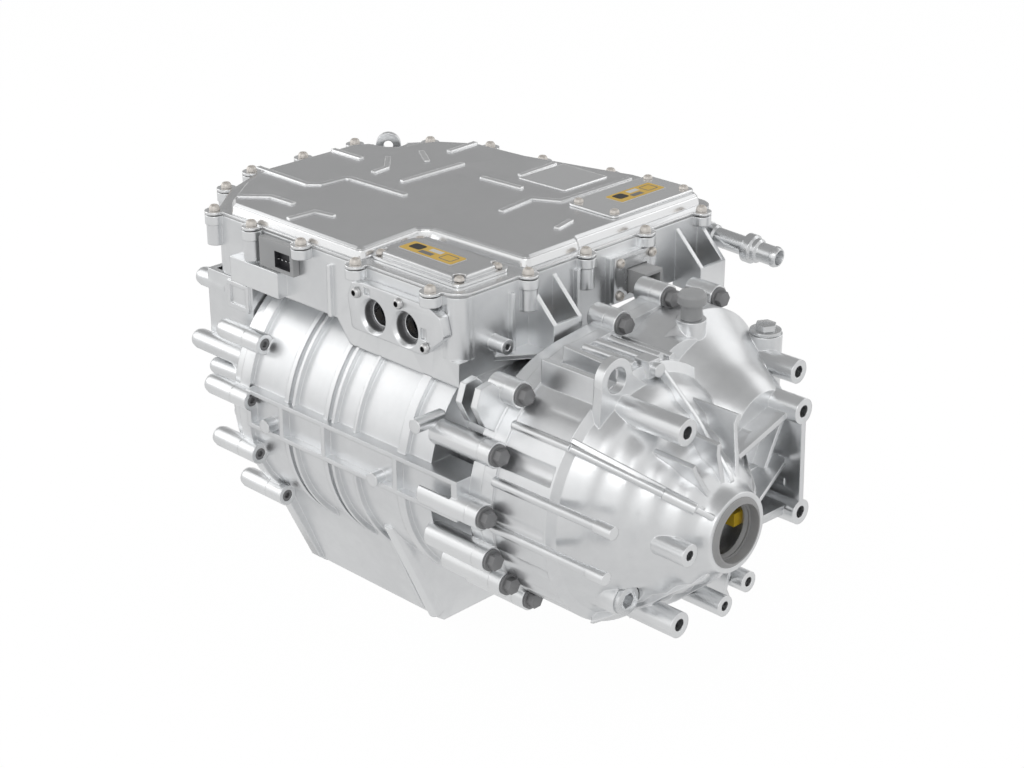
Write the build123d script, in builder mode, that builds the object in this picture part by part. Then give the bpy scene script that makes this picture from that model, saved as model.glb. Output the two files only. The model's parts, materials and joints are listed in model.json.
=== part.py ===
from build123d import *
import math
import os

os.makedirs("parts", exist_ok=True)

# Coaxial electric drive unit. +X runs along the motor shaft to the gearbox end,
# the front with the two power sockets faces -Y, +Z is up, and the origin is the
# middle of the right-hand output seal's face. All sizes are in millimetres.

# Clearances
SEAT_GAP = 0.05
RUN_GAP = 0.05
FACE_GAP = 0.3

# Stations along the shaft
SEAL_X = 0.0
JOINT_X = -162.0
JOINT_FLANGE = 12.0
FLANGE_LIP = 2.0
BARREL_END_X = -212.0
REAR_JOINT_X = -440.0
REAR_FLANGE = 12.0
TAIL_X = -512.0
DIFF_X = -77.0

# Motor barrel
BARREL_R = 113.5
BARREL_RIB_R = 118.0
NECK_R = 83.0
NECK_WALL = 7.0
END_WALL = 30.0
BARREL_RIBS = ((-434.0, 12.0), (-380.0, 5.0), (-371.0, 3.0), (-331.0, 5.0), (-322.0, 3.0),
               (-296.0, 3.0), (-241.0, 9.0))

# Gear train
LAY_DISTANCE = 100.0
LAY_ANGLE = 17.5
LAY_Y = LAY_DISTANCE * math.cos(math.radians(LAY_ANGLE))
LAY_Z = LAY_DISTANCE * math.sin(math.radians(LAY_ANGLE))
PRESSURE_ANGLE = 20.0
BACKLASH = 0.5
INPUT_TEETH = 27
LAY_WHEEL_TEETH = 73
LAY_PINION_TEETH = 19
RING_TEETH = 61
INPUT_MODULE = 2 * LAY_DISTANCE / (INPUT_TEETH + LAY_WHEEL_TEETH)
FINAL_MODULE = 2 * LAY_DISTANCE / (LAY_PINION_TEETH + RING_TEETH)
INPUT_GEAR_X = (-158.0, -138.0)
RING_X = (-102.0, -78.0)
LAY_PINION_X = (RING_X[0] - 2, RING_X[1] + 2)

# Bevel gears of the differential
SIDE_TEETH = 16
SPIDER_TEETH = 10
BEVEL_MODULE = 3.6
BEVEL_FACE = 11.0
SIDE_PITCH_R = SIDE_TEETH * BEVEL_MODULE / 2
SPIDER_PITCH_R = SPIDER_TEETH * BEVEL_MODULE / 2

# Shafts
OUTPUT_BORE_R = 14.0
INNER_SHAFT_R = 12.5
ROTOR_BORE_R = 15.0
ROTOR_SEAT_R = 26.0
JOURNAL_R = 20.0
LAY_SHAFT_R = 17.0
LAY_JOURNAL_R = 12.5

# Bearings: bore radius, outer radius, width
ROTOR_BEARING = (JOURNAL_R, 40.0, 18.0)
DIFF_BEARING = (JOURNAL_R, 34.0, 15.0)
LAY_BEARING = (LAY_JOURNAL_R, 26.0, 15.0)
TAIL_BEARING = (17.5, 31.0, 14.0)
ROTOR_REAR_BEARING_X = -468.0
ROTOR_FRONT_BEARING_X = -186.0
DIFF_LEFT_BEARING_X = -133.0
DIFF_RIGHT_BEARING_X = -47.0
LAY_LEFT_BEARING_X = -177.0
LAY_RIGHT_BEARING_X = -73.0
TAIL_BEARING_X = -494.0

# Seals
SEAL_R = 28.0
SEAL_WIDTH = 10.0
SEAL_BOSS_R = 33.0
SEAL_SHOULDER_R = 25.0

# Motor
STATOR_X = (-392.0, -252.0)
STATOR_R = 98.0
STATOR_BORE_R = 72.0
AIR_GAP = 0.7
SLOTS = 48
SLOT_DEPTH = 17.0
SLOT_WIDTH = 4.4
CROWN_LENGTH = 30.0
POLES = 8
SLEEVE_R = 102.0

# Gearbox casing
CASE_R = 106.0
CASE_REGISTER_R = 96.0
CASE_SHOULDER_X = -116.0
RING_CAVITY_R = 82.0
LAY_DOME_R = 86.0
LAY_WHEEL_CAVITY_R = 79.0
LAY_TUBE_R = 38.0
LAY_END_X = -52.0

# Inverter box
INV_FRONT_Y = -86.0
INV_RIGHT_X = -206.0
INV_BOTTOM_Z = 100.0
INV_SKIRT_Z = 81.0
INV_FLOOR_Z = 121.0
INV_TOP_Z = 152.0
INV_WALL = 5.0
GASKET = 1.0
COVER_SHEET = 2.3
COVER_RISE = 9.5
SCREW_BOSS_R = 8.5

# Coolant spigots
INLET = (-206.0, 211.0, 131.5)
INLET_WAY = (70.0, 5.5, -5.5)
INLET_SEAT = 2.0
OUTLET = (-250.0, BARREL_R - 1.0, 20.0)
SPIGOT_R = 8.3
SPIGOT_BORE_R = 6.3

# Fasteners
M8_R = 4.0
M8_FLANGE_R = 8.9
M8_HEX_R = 6.8
M5_R = 2.5
M5_HEAD_R = 4.7
M5_HEAD = 4.6
M4_R = 2.0
M4_HEAD_R = 4.1
M4_HEAD = 3.0
THREAD_GAP = 0.1

Y_OF_LAY = (LAY_Y, LAY_Z)


def around_motor(radius, *angles):
    """Points (y, z) on a circle round the motor axis."""
    return [(radius * math.cos(math.radians(a)), radius * math.sin(math.radians(a))) for a in angles]


def around_layshaft(radius, *angles):
    """Points (y, z) on a circle round the layshaft axis."""
    return [(LAY_Y + y, LAY_Z + z) for y, z in around_motor(radius, *angles)]


def turn(points, mode=Mode.ADD, centre=(0.0, 0.0)):
    """Revolve an (x, radius) outline about the line through centre, parallel to X."""
    y, z = centre
    with BuildSketch(Plane(origin=(0, y, z), x_dir=(1, 0, 0), z_dir=(0, 0, 1))) as outline:
        with BuildLine():
            Polyline(*points, close=True)
        make_face()
    revolve(outline.sketch, axis=Axis((0, y, z), (1, 0, 0)), mode=mode)


def tube(x0, x1, outer, inner, mode=Mode.ADD, centre=(0.0, 0.0)):
    turn([(x0, inner), (x0, outer), (x1, outer), (x1, inner)], mode, centre)


def rods(x0, x1, radius, spots, mode=Mode.ADD):
    """Round bars parallel to X at each (y, z)."""
    with BuildSketch(Plane.YZ.offset(x0)) as discs:
        with Locations(*spots):
            Circle(radius)
    extrude(discs.sketch, amount=x1 - x0, mode=mode)


def posts(z0, z1, radius, spots, mode=Mode.ADD):
    """Round bars parallel to Z at each (x, y)."""
    with BuildSketch(Plane.XY.offset(z0)) as discs:
        with Locations(*spots):
            Circle(radius)
    extrude(discs.sketch, amount=z1 - z0, mode=mode)


def front_rods(y0, y1, radius, spots, mode=Mode.ADD):
    """Round bars parallel to Y at each (x, z), from y0 towards y1."""
    with BuildSketch(Plane(origin=(0, y0, 0), x_dir=(1, 0, 0), z_dir=(0, -1, 0))) as discs:
        with Locations(*spots):
            Circle(radius)
    extrude(discs.sketch, amount=y0 - y1, mode=mode)


def cross_slab(x0, x1, points, mode=Mode.ADD):
    """A (y, z) outline extruded along X."""
    with BuildSketch(Plane.YZ.offset(x0)) as outline:
        with BuildLine():
            Polyline(*points, close=True)
        make_face()
    extrude(outline.sketch, amount=x1 - x0, mode=mode)


def side_slab(y0, y1, points, mode=Mode.ADD):
    """An (x, z) outline extruded along Y."""
    with BuildSketch(Plane(origin=(0, y0, 0), x_dir=(1, 0, 0), z_dir=(0, -1, 0))) as outline:
        with BuildLine():
            Polyline(*points, close=True)
        make_face()
    extrude(outline.sketch, amount=y0 - y1, mode=mode)


def block(x, y, z, mode=Mode.ADD):
    """A box between the (low, high) pairs x, y and z."""
    with BuildSketch(Plane.XY.offset(z[0])) as outline:
        with Locations(((x[0] + x[1]) / 2, (y[0] + y[1]) / 2)):
            Rectangle(x[1] - x[0], y[1] - y[0])
    extrude(outline.sketch, amount=z[1] - z[0], mode=mode)


def plan_slab(z0, z1, points, mode=Mode.ADD):
    """An (x, y) outline extruded along Z."""
    with BuildSketch(Plane.XY.offset(z0)) as outline:
        with BuildLine():
            Polyline(*points, close=True)
        make_face()
    extrude(outline.sketch, amount=z1 - z0, mode=mode)


def spin(points, origin, axis, mode=Mode.ADD):
    """Revolve an (along, radius) outline about the line from origin along axis."""
    along = Vector(*axis).normalized()
    side = Vector(1, 0, 0) if abs(along.Z) > 0.9 else Vector(0, 0, 1).cross(along)
    with BuildSketch(Plane(origin=origin, x_dir=along, z_dir=side)) as outline:
        with BuildLine():
            Polyline(*points, close=True)
        make_face()
    revolve(outline.sketch, axis=Axis(origin, (along.X, along.Y, along.Z)), mode=mode)


def bullet(nose, x1, radius, spot):
    """A round-nosed bar parallel to X, its nose at the first station."""
    turn([(x1, 0), (x1, radius), (nose + 0.9 * radius, radius), (nose + 0.45 * radius, 0.88 * radius),
          (nose + 0.15 * radius, 0.6 * radius), (nose, 0.25 * radius), (nose, 0)], centre=spot)


def pan_head(radius, height, origin, axis):
    """A domed screw head with a small recess, standing on origin."""
    spin([(0, 0), (0, radius), (0.25 * height, radius), (0.7 * height, 0.88 * radius), (height, 0.64 * radius),
          (height, 0.36 * radius), (0.6 * height, 0.36 * radius), (0.6 * height, 0)], origin, axis)


def bar(start, end, radius):
    """A round bar between two points."""
    way = Vector(*end) - Vector(*start)
    spin([(0, 0), (0, radius), (way.length, radius), (way.length, 0)], start, (way.X, way.Y, way.Z))


def spokes(x0, x1, count, r0, r1, width, mode=Mode.ADD):
    """Bars of the given width between two radii, evenly round the motor axis."""
    with BuildSketch(Plane.YZ.offset(x0)) as bars:
        with PolarLocations((r0 + r1) / 2, count):
            Rectangle(r1 - r0, width)
    extrude(bars.sketch, amount=x1 - x0, mode=mode)


def hex_head(x, spots, hex_r, height, way):
    """Hexagon heads that stand on the plane x, towards way along X."""
    with BuildSketch(Plane.YZ.offset(x)) as hexes:
        with Locations(*spots):
            RegularPolygon(hex_r, 6)
    extrude(hexes.sketch, amount=way * height)


def radial_rib(angle, thickness, points, centre=(0.0, 0.0)):
    """A web in the half-plane at this angle, drawn as (x, radius) points."""
    a = math.radians(angle)
    plane = Plane(origin=(0, centre[0], centre[1]), x_dir=(1, 0, 0), z_dir=(0, math.sin(a), -math.cos(a)))
    with BuildSketch(plane) as web:
        with BuildLine():
            Polyline(*points, close=True)
        make_face()
    extrude(web.sketch, amount=thickness / 2, both=True)


def gear_outline(teeth, module, phase):
    """Corners of a spur gear whose flanks are chords of the involute."""
    pitch = teeth * module / 2
    base = pitch * math.cos(math.radians(PRESSURE_ANGLE))
    tip = pitch + 0.95 * module
    root = pitch - 1.25 * module

    def involute(radius):
        roll = math.acos(min(1.0, base / radius))
        return math.tan(roll) - roll

    half_at_pitch = math.pi / (2 * teeth) - BACKLASH / (2 * pitch)
    half_tip = half_at_pitch + involute(pitch) - involute(tip)
    half_root = half_at_pitch + involute(pitch) - involute(max(root, base))
    corners = []
    for i in range(teeth):
        middle = math.radians(phase) + 2 * math.pi * i / teeth
        for radius, angle in ((root, -half_root), (tip, -half_tip), (tip, half_tip), (root, half_root)):
            corners.append((radius * math.cos(middle + angle), radius * math.sin(middle + angle)))
    return corners


def gear(x, teeth, module, phase, centre=(0.0, 0.0)):
    """A spur gear body between the two stations in x."""
    points = [(centre[0] + y, centre[1] + z) for y, z in gear_outline(teeth, module, phase)]
    cross_slab(x[0], x[1], points)


def bevel_teeth(teeth, pitch_r, mate_r, axis_dir, start_dir, phase=0.0):
    """Tapered teeth of a straight bevel gear whose apex is the differential's centre."""
    reach = math.hypot(pitch_r, mate_r)
    cone = math.atan2(pitch_r, mate_r)
    side_dir = Vector(*axis_dir).cross(Vector(*start_dir))
    for i in range(teeth):
        turn_angle = phase + 2 * math.pi * i / teeth
        outward = Vector(*start_dir) * math.cos(turn_angle) + side_dir * math.sin(turn_angle)
        along = Vector(*axis_dir) * math.cos(cone) + outward * math.sin(cone)
        across = Vector(*axis_dir).cross(outward)
        sections = []
        for distance in (reach, reach - BEVEL_FACE):
            scale = distance / reach
            plane = Plane(origin=Vector(DIFF_X, 0, 0) + along * distance, x_dir=across, z_dir=along)
            half_pitch = (math.pi * BEVEL_MODULE / 2 - BACKLASH) / 2
            tip_half = half_pitch - 0.85 * BEVEL_MODULE * math.tan(math.radians(PRESSURE_ANGLE + 5))
            root_half = half_pitch + 1.0 * BEVEL_MODULE * math.tan(math.radians(PRESSURE_ANGLE))
            up = outward_sign(plane, outward)
            heights = (-1.25 * BEVEL_MODULE * up, 0.85 * BEVEL_MODULE * up)
            with BuildSketch(plane) as section:
                with BuildLine():
                    Polyline((-root_half * scale, heights[0] * scale), (-tip_half * scale, heights[1] * scale),
                             (tip_half * scale, heights[1] * scale), (root_half * scale, heights[0] * scale),
                             close=True)
                make_face()
            sections.append(section.sketch)
        loft(sections)


def outward_sign(plane, outward):
    return 1.0 if plane.y_dir.dot(outward) > 0 else -1.0


def save(piece, name):
    piece.part.label = name
    export_step(piece.part, "parts/" + name + ".step")


# Shared outlines
FRONT_JOINT_BOLTS = [(-101, 48), (-115, 1), (-108, -38), (-90, -66), (-64, -89), (-74, 89)]
TOP_JOINT_BOLTS = [(38, 114), (93, 121)]
BACK_JOINT_BOLTS = around_layshaft(LAY_DOME_R + 9.5, 50, 12, -26, -56) + around_motor(CASE_R + 9.5, -60, -86)
JOINT_BOLTS = FRONT_JOINT_BOLTS + TOP_JOINT_BOLTS + BACK_JOINT_BOLTS
JOINT_BOSS_R = 10.5
DOWELS = around_motor(101, 222, 105)
DOWEL_R = 3.0

REAR_BOLTS = [(-103, 60), (-119, 14), (-114, -37), (-87, -86)] + around_motor(119, -98, -66, -34, -6, 21, 47)
REAR_BOSS_R = 9.0
REAR_BOLT_R = 3.2
REAR_HEAD_R = 5.0
REAR_HEAD_X = (REAR_JOINT_X + 14.0, REAR_JOINT_X + 20.0)
REAR_BOLT_END_X = REAR_JOINT_X - 22.0

INV_OUTLINE = [(INV_RIGHT_X, INV_FRONT_Y), (-497, INV_FRONT_Y), (-533, -42), (-554, 6), (-554, 121),
               (-512, 176), (-463, 198), (-400, 199), (-331, 215), (-290, 222), (INV_RIGHT_X, 222)]
FRONT_SCREWS = [(-499, -87), (-446, -90), (-382, -91), (-316, -91), (-231, -91)]
RIGHT_SCREWS = [(-204, -12), (-204, 54), (-204, 126), (-204, 198)]
BACK_SCREWS = [(-540, -42), (-561, 3), (-560, 62), (-558, 123), (-512, 176), (-461, 204), (-397, 207),
               (-328, 222), (-262, 222)]
COVER_SCREWS = FRONT_SCREWS + RIGHT_SCREWS + BACK_SCREWS
DEEP_BOSSES = FRONT_SCREWS[:2] + RIGHT_SCREWS[:2] + BACK_SCREWS
LIFT_EYE = (-537.0, 146.0, 154.0)
LIFT_EYE_R = 11.5
EYE_RECESS = (-538, 149)
EYE_RECESS_R = 16.5


def joint_flange(x0, x1):
    """The flange outline shared by motor and gearbox, with a boss at each bolt."""
    with BuildSketch(Plane.YZ.offset(x0)) as flange:
        with BuildSketch(mode=Mode.PRIVATE) as circles:
            Circle(CASE_R + FLANGE_LIP)
            with Locations(Y_OF_LAY):
                Circle(LAY_DOME_R + FLANGE_LIP)
        make_hull(circles.sketch.edges())
        with Locations(*JOINT_BOLTS):
            Circle(JOINT_BOSS_R)
    extrude(flange.sketch, amount=x1 - x0)


def inverter_slab(z0, z1, inset=0.0, boss_r=0.0, mode=Mode.ADD):
    """The inverter's plan outline moved in by inset, with screw lobes where boss_r is given."""
    with BuildSketch(Plane.XY.offset(z0)) as plan:
        with BuildLine():
            Polyline(*INV_OUTLINE, close=True)
        make_face()
        fillet(plan.vertices(), 18)
        if inset:
            offset(amount=-inset, mode=Mode.REPLACE)
        if boss_r:
            with Locations(*COVER_SCREWS):
                Circle(boss_r)
        with Locations(EYE_RECESS):
            Circle(EYE_RECESS_R + inset, mode=Mode.SUBTRACT)
    extrude(plan.sketch, amount=z1 - z0, mode=mode)


def barrel_envelope(gap, mode):
    """The barrel with its ribs, grown by gap all round, as the saddle must clear it."""
    turn([(REAR_JOINT_X - REAR_FLANGE - 60, 0), (REAR_JOINT_X - REAR_FLANGE - 60, BARREL_R + gap),
          (BARREL_END_X + gap, BARREL_R + gap), (BARREL_END_X + gap, 0)], mode)
    for middle, width in BARREL_RIBS:
        tube(middle - width / 2 - gap, middle + width / 2 + gap, BARREL_RIB_R + gap, BARREL_R - 1, mode)


# Motor housing: barrel, neck, joint flange, side channel, feet and lugs
SLEEVE_BORE_R = SLEEVE_R + 3.0
FOOT_X = ((REAR_JOINT_X, REAR_JOINT_X + 11), (-286.0, -275.0))
FOOT_BOTTOM_Z = -170.0
FOOT_PADS = [(-430, -32), (-284, -32), (-430, 32), (-284, 32)]
FOOT_OUTLINE = [(-98, -50), (-84, -86), (-46, FOOT_BOTTOM_Z + 4), (-40, FOOT_BOTTOM_Z), (40, FOOT_BOTTOM_Z),
                (46, FOOT_BOTTOM_Z + 4), (84, -86), (98, -50)]
FOOT_PAD_R = 9.0
CHANNEL_Z = (-10.0, 24.0)
CHANNEL_Y = -121.0

with BuildPart() as motor_housing:
    turn([(REAR_JOINT_X, 0), (REAR_JOINT_X, BARREL_R), (BARREL_END_X, BARREL_R), (BARREL_END_X, NECK_R),
          (JOINT_X, NECK_R), (JOINT_X, 0)])
    for middle, width in BARREL_RIBS:
        tube(middle - width / 2, middle + width / 2, BARREL_RIB_R, BARREL_R - 2)
    joint_flange(JOINT_X - JOINT_FLANGE, JOINT_X)
    rods(BARREL_END_X - 2, JOINT_X, JOINT_BOSS_R, FRONT_JOINT_BOLTS[:5])
    rods(JOINT_X - 16, JOINT_X, JOINT_BOSS_R, FRONT_JOINT_BOLTS[5:] + TOP_JOINT_BOLTS + BACK_JOINT_BOLTS)
    rods(LAY_LEFT_BEARING_X - 6, JOINT_X, LAY_BEARING[1] + 9, [Y_OF_LAY])
    # lugs that the rear cover bolts to
    rods(REAR_JOINT_X, REAR_HEAD_X[1], REAR_BOSS_R, REAR_BOLTS)
    # side channel: a flat bar with a pocket between its two lips
    block((-426, -174), (CHANNEL_Y, -90), CHANNEL_Z)
    for x0, x1 in ((-421, -384), (-379, -331), (-327, -246), (-241, -180)):
        block((x0, x1), (CHANNEL_Y - 1, CHANNEL_Y + 7), (CHANNEL_Z[0] + 4, CHANNEL_Z[1] - 4), Mode.SUBTRACT)
    # feet: a thick cross plate at each end, sloped skins between them
    for x0, x1 in FOOT_X:
        cross_slab(x0, x1, FOOT_OUTLINE)
    cross_slab(-301, -297, [(0.94 * y, max(z, FOOT_BOTTOM_Z + 3)) for y, z in FOOT_OUTLINE])
    for side in (-1, 1):
        cross_slab(FOOT_X[0][0], FOOT_X[1][1], [(side * 76, -84), (side * 40, FOOT_BOTTOM_Z),
                                                (side * 33, FOOT_BOTTOM_Z), (side * 68, -88)])
        bar((FOOT_X[1][0] + 5.5, side * 92, -60), (FOOT_X[1][0] + 5.5, side * 44, FOOT_BOTTOM_Z + 8), 6.8)
    posts(FOOT_BOTTOM_Z, FOOT_BOTTOM_Z + 14, FOOT_PAD_R, FOOT_PADS)
    # twin ears on the neck
    for x0 in (-186, -170):
        cross_slab(x0, x0 + 6, [(-66, 44), (-100, 66), (-109, 84), (-104, 98), (-92, 100), (-48, 62)])
    # cable clip bosses pointing out of the front
    for x, z in ((-216, 58), (-267, -5), (-400, -2)):
        with BuildSketch(Plane(origin=(x, -96, z), x_dir=(1, 0, 0), z_dir=(0, -1, 0))) as clip:
            Circle(6)
        extrude(clip.sketch, amount=28)
    spin([(-16, 0), (-16, 15), (9 - SEAT_GAP, 15), (9 - SEAT_GAP, 0)], OUTLET, (0, 1, 0))
    # bores
    spin([(-30, 0), (-30, SPIGOT_BORE_R), (10, SPIGOT_BORE_R), (10, 0)], OUTLET, (0, 1, 0), Mode.SUBTRACT)
    turn([(REAR_JOINT_X - 1, 0), (REAR_JOINT_X - 1, SLEEVE_BORE_R), (BARREL_END_X - 6, SLEEVE_BORE_R),
          (BARREL_END_X - 6, NECK_R - NECK_WALL), (JOINT_X - END_WALL, NECK_R - NECK_WALL),
          (JOINT_X - END_WALL, 0)], Mode.SUBTRACT)
    rods(JOINT_X - END_WALL - 1, JOINT_X + 1, 30, [(0, 0)], Mode.SUBTRACT)
    rods(ROTOR_FRONT_BEARING_X, JOINT_X + 1, ROTOR_BEARING[1] + SEAT_GAP, [(0, 0)], Mode.SUBTRACT)
    tube(JOINT_X - 14, JOINT_X + 1, NECK_R - NECK_WALL, ROTOR_BEARING[1] + 9, Mode.SUBTRACT)
    rods(LAY_LEFT_BEARING_X, JOINT_X + 1, LAY_BEARING[1] + SEAT_GAP, [Y_OF_LAY], Mode.SUBTRACT)
    rods(JOINT_X - 15.2, JOINT_X + 1, M8_R + THREAD_GAP, JOINT_BOLTS, Mode.SUBTRACT)
    rods(JOINT_X - 8, JOINT_X + 1, DOWEL_R + SEAT_GAP, DOWELS, Mode.SUBTRACT)
    rods(REAR_JOINT_X - 1, REAR_HEAD_X[1] + 1, REAR_BOLT_R + 0.3, REAR_BOLTS, Mode.SUBTRACT)
    rods(REAR_HEAD_X[0], REAR_HEAD_X[1] + 1, REAR_HEAD_R + 0.2, REAR_BOLTS, Mode.SUBTRACT)
    posts(FOOT_BOTTOM_Z - 1, FOOT_BOTTOM_Z + 20, 5.2, FOOT_PADS, Mode.SUBTRACT)
save(motor_housing, "motor_housing")

# Rear cover: stepped dome with the rotor's rear bearing, the left seal and the phase box
BOX_X = (-514.0, -454.0)
BOX_Y = (-87.0, 66.0)
BOX_Z = (22.0, INV_BOTTOM_Z - FACE_GAP)
BOX_WALL = 5.0
with BuildPart() as rear_cover:
    turn([(REAR_JOINT_X, 0), (REAR_JOINT_X, BARREL_R), (REAR_JOINT_X - REAR_FLANGE, BARREL_R),
          (REAR_JOINT_X - REAR_FLANGE - 3, 103), (-478, 96), (-487, 84), (-489, 46), (-506, 42),
          (TAIL_X, 39), (TAIL_X, 0)])
    for spot in REAR_BOLTS:
        bullet(REAR_JOINT_X - 39, REAR_JOINT_X, REAR_BOSS_R, spot)
    for angle in range(0, 360, 30):
        radial_rib(angle + 15, 5, [(-484, 40), (-504, 40), (-493, 82), (-480, 96), (-456, 100), (-470, 60)])
    block(BOX_X, BOX_Y, BOX_Z)
    bullet(-536, -492, 8.5, (-79, 86))
    bullet(-530, -450, 9.0, (-92, 33))
    bullet(-507, -450, 8.0, (-92, 14))
    # raised frame on the front of the phase box
    block((-486, -458), (BOX_Y[0] - 1.6, BOX_Y[0] + 1), (73, 97))
    block((-482, -462), (BOX_Y[0] - 2.6, BOX_Y[0] - 0.2), (77, 93), Mode.SUBTRACT)
    # inside of the dome and the box
    turn([(REAR_JOINT_X + 1, 0), (REAR_JOINT_X + 1, 98), (-458, 98), (-474, 90), (-480, 80), (-480, 50),
          (-450, 50), (-450, 0)], Mode.SUBTRACT)
    block((BOX_X[0] + BOX_WALL, BOX_X[1] - BOX_WALL), (BOX_Y[0] + BOX_WALL, BOX_Y[1] - BOX_WALL),
          (60, BOX_Z[1] + 1), Mode.SUBTRACT)
    block((BOX_X[1] - 20, REAR_JOINT_X - 5), (-38, 38), (52, 88), Mode.SUBTRACT)
    rods(-520, REAR_JOINT_X, 22, [(0, 0)], Mode.SUBTRACT)
    rods(ROTOR_REAR_BEARING_X, REAR_JOINT_X, ROTOR_BEARING[1] + SEAT_GAP, [(0, 0)], Mode.SUBTRACT)
    rods(TAIL_X - 1, TAIL_BEARING_X + TAIL_BEARING[2], TAIL_BEARING[1] + SEAT_GAP, [(0, 0)], Mode.SUBTRACT)
    rods(REAR_BOLT_END_X - 2, REAR_JOINT_X + 1, REAR_BOLT_R + THREAD_GAP, REAR_BOLTS, Mode.SUBTRACT)
save(rear_cover, "rear_cover")

# Gearbox casing: motor-side barrel, cone over the differential, layshaft dome and bosses
CASE_OUTLINE = [(JOINT_X, CASE_R), (-96, CASE_R), (-92, 98), (-76, 90), (-70, 83), (-56, 76), (-50, 68), (-38, 62),
                (-32, 54), (-20, 48), (-14, 40), (-10, SEAL_BOSS_R + 3), (-3, SEAL_BOSS_R), (SEAL_X, SEAL_BOSS_R - 1)]
DOME_OUTLINE = [(JOINT_X, LAY_DOME_R), (-122, LAY_DOME_R), (-84, 56), (-64, 46), (LAY_END_X, LAY_TUBE_R)]
MOUNT_BOSS_X = -25.0
MOUNT_BOSS_R = 10.5
MOUNT_HOLE_R = 5.1
MOUNT_BOSSES = [(-31, 84), (111, 55), (115, -34), (-32, -76)]
SMALL_BOSS_X = -12.0
SMALL_BOSSES = [(34, -60), (6, -70)]
HOIST_LUG_X = (-95.0, -87.0)
HOIST_HOLE = (-39, 109)
FILL_PLUG_X = -60.0
FILL_PLUG = (-56, -57.6)
LEVEL_PLUG = (-101.0, 158.0)
LEVEL_PLUG_Z = 86.0
PLUG_R = 11.0
CHAMBER = (60, 66)
CHAMBER_R = 40.0
BREATHER = (-117.0, 82.0)
BREATHER_Z = 115.5
ROD_RIB_R = 4.0
ROD_CAP_R = 5.2
HOIST_HOLE_R = 10.5
HOIST_EYE_R = 17.0
OIL_LINE_ANGLE = 141.0
OIL_LINE = [(-150.0, 107.5), (-93.0, 105.5), (-33.0, 60.3), (-12.0, 44.5), (-3.0, 32.0)]

BRIDGE_SCREWS = around_motor(91, 100, 150, 200, 250, 300)

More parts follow.
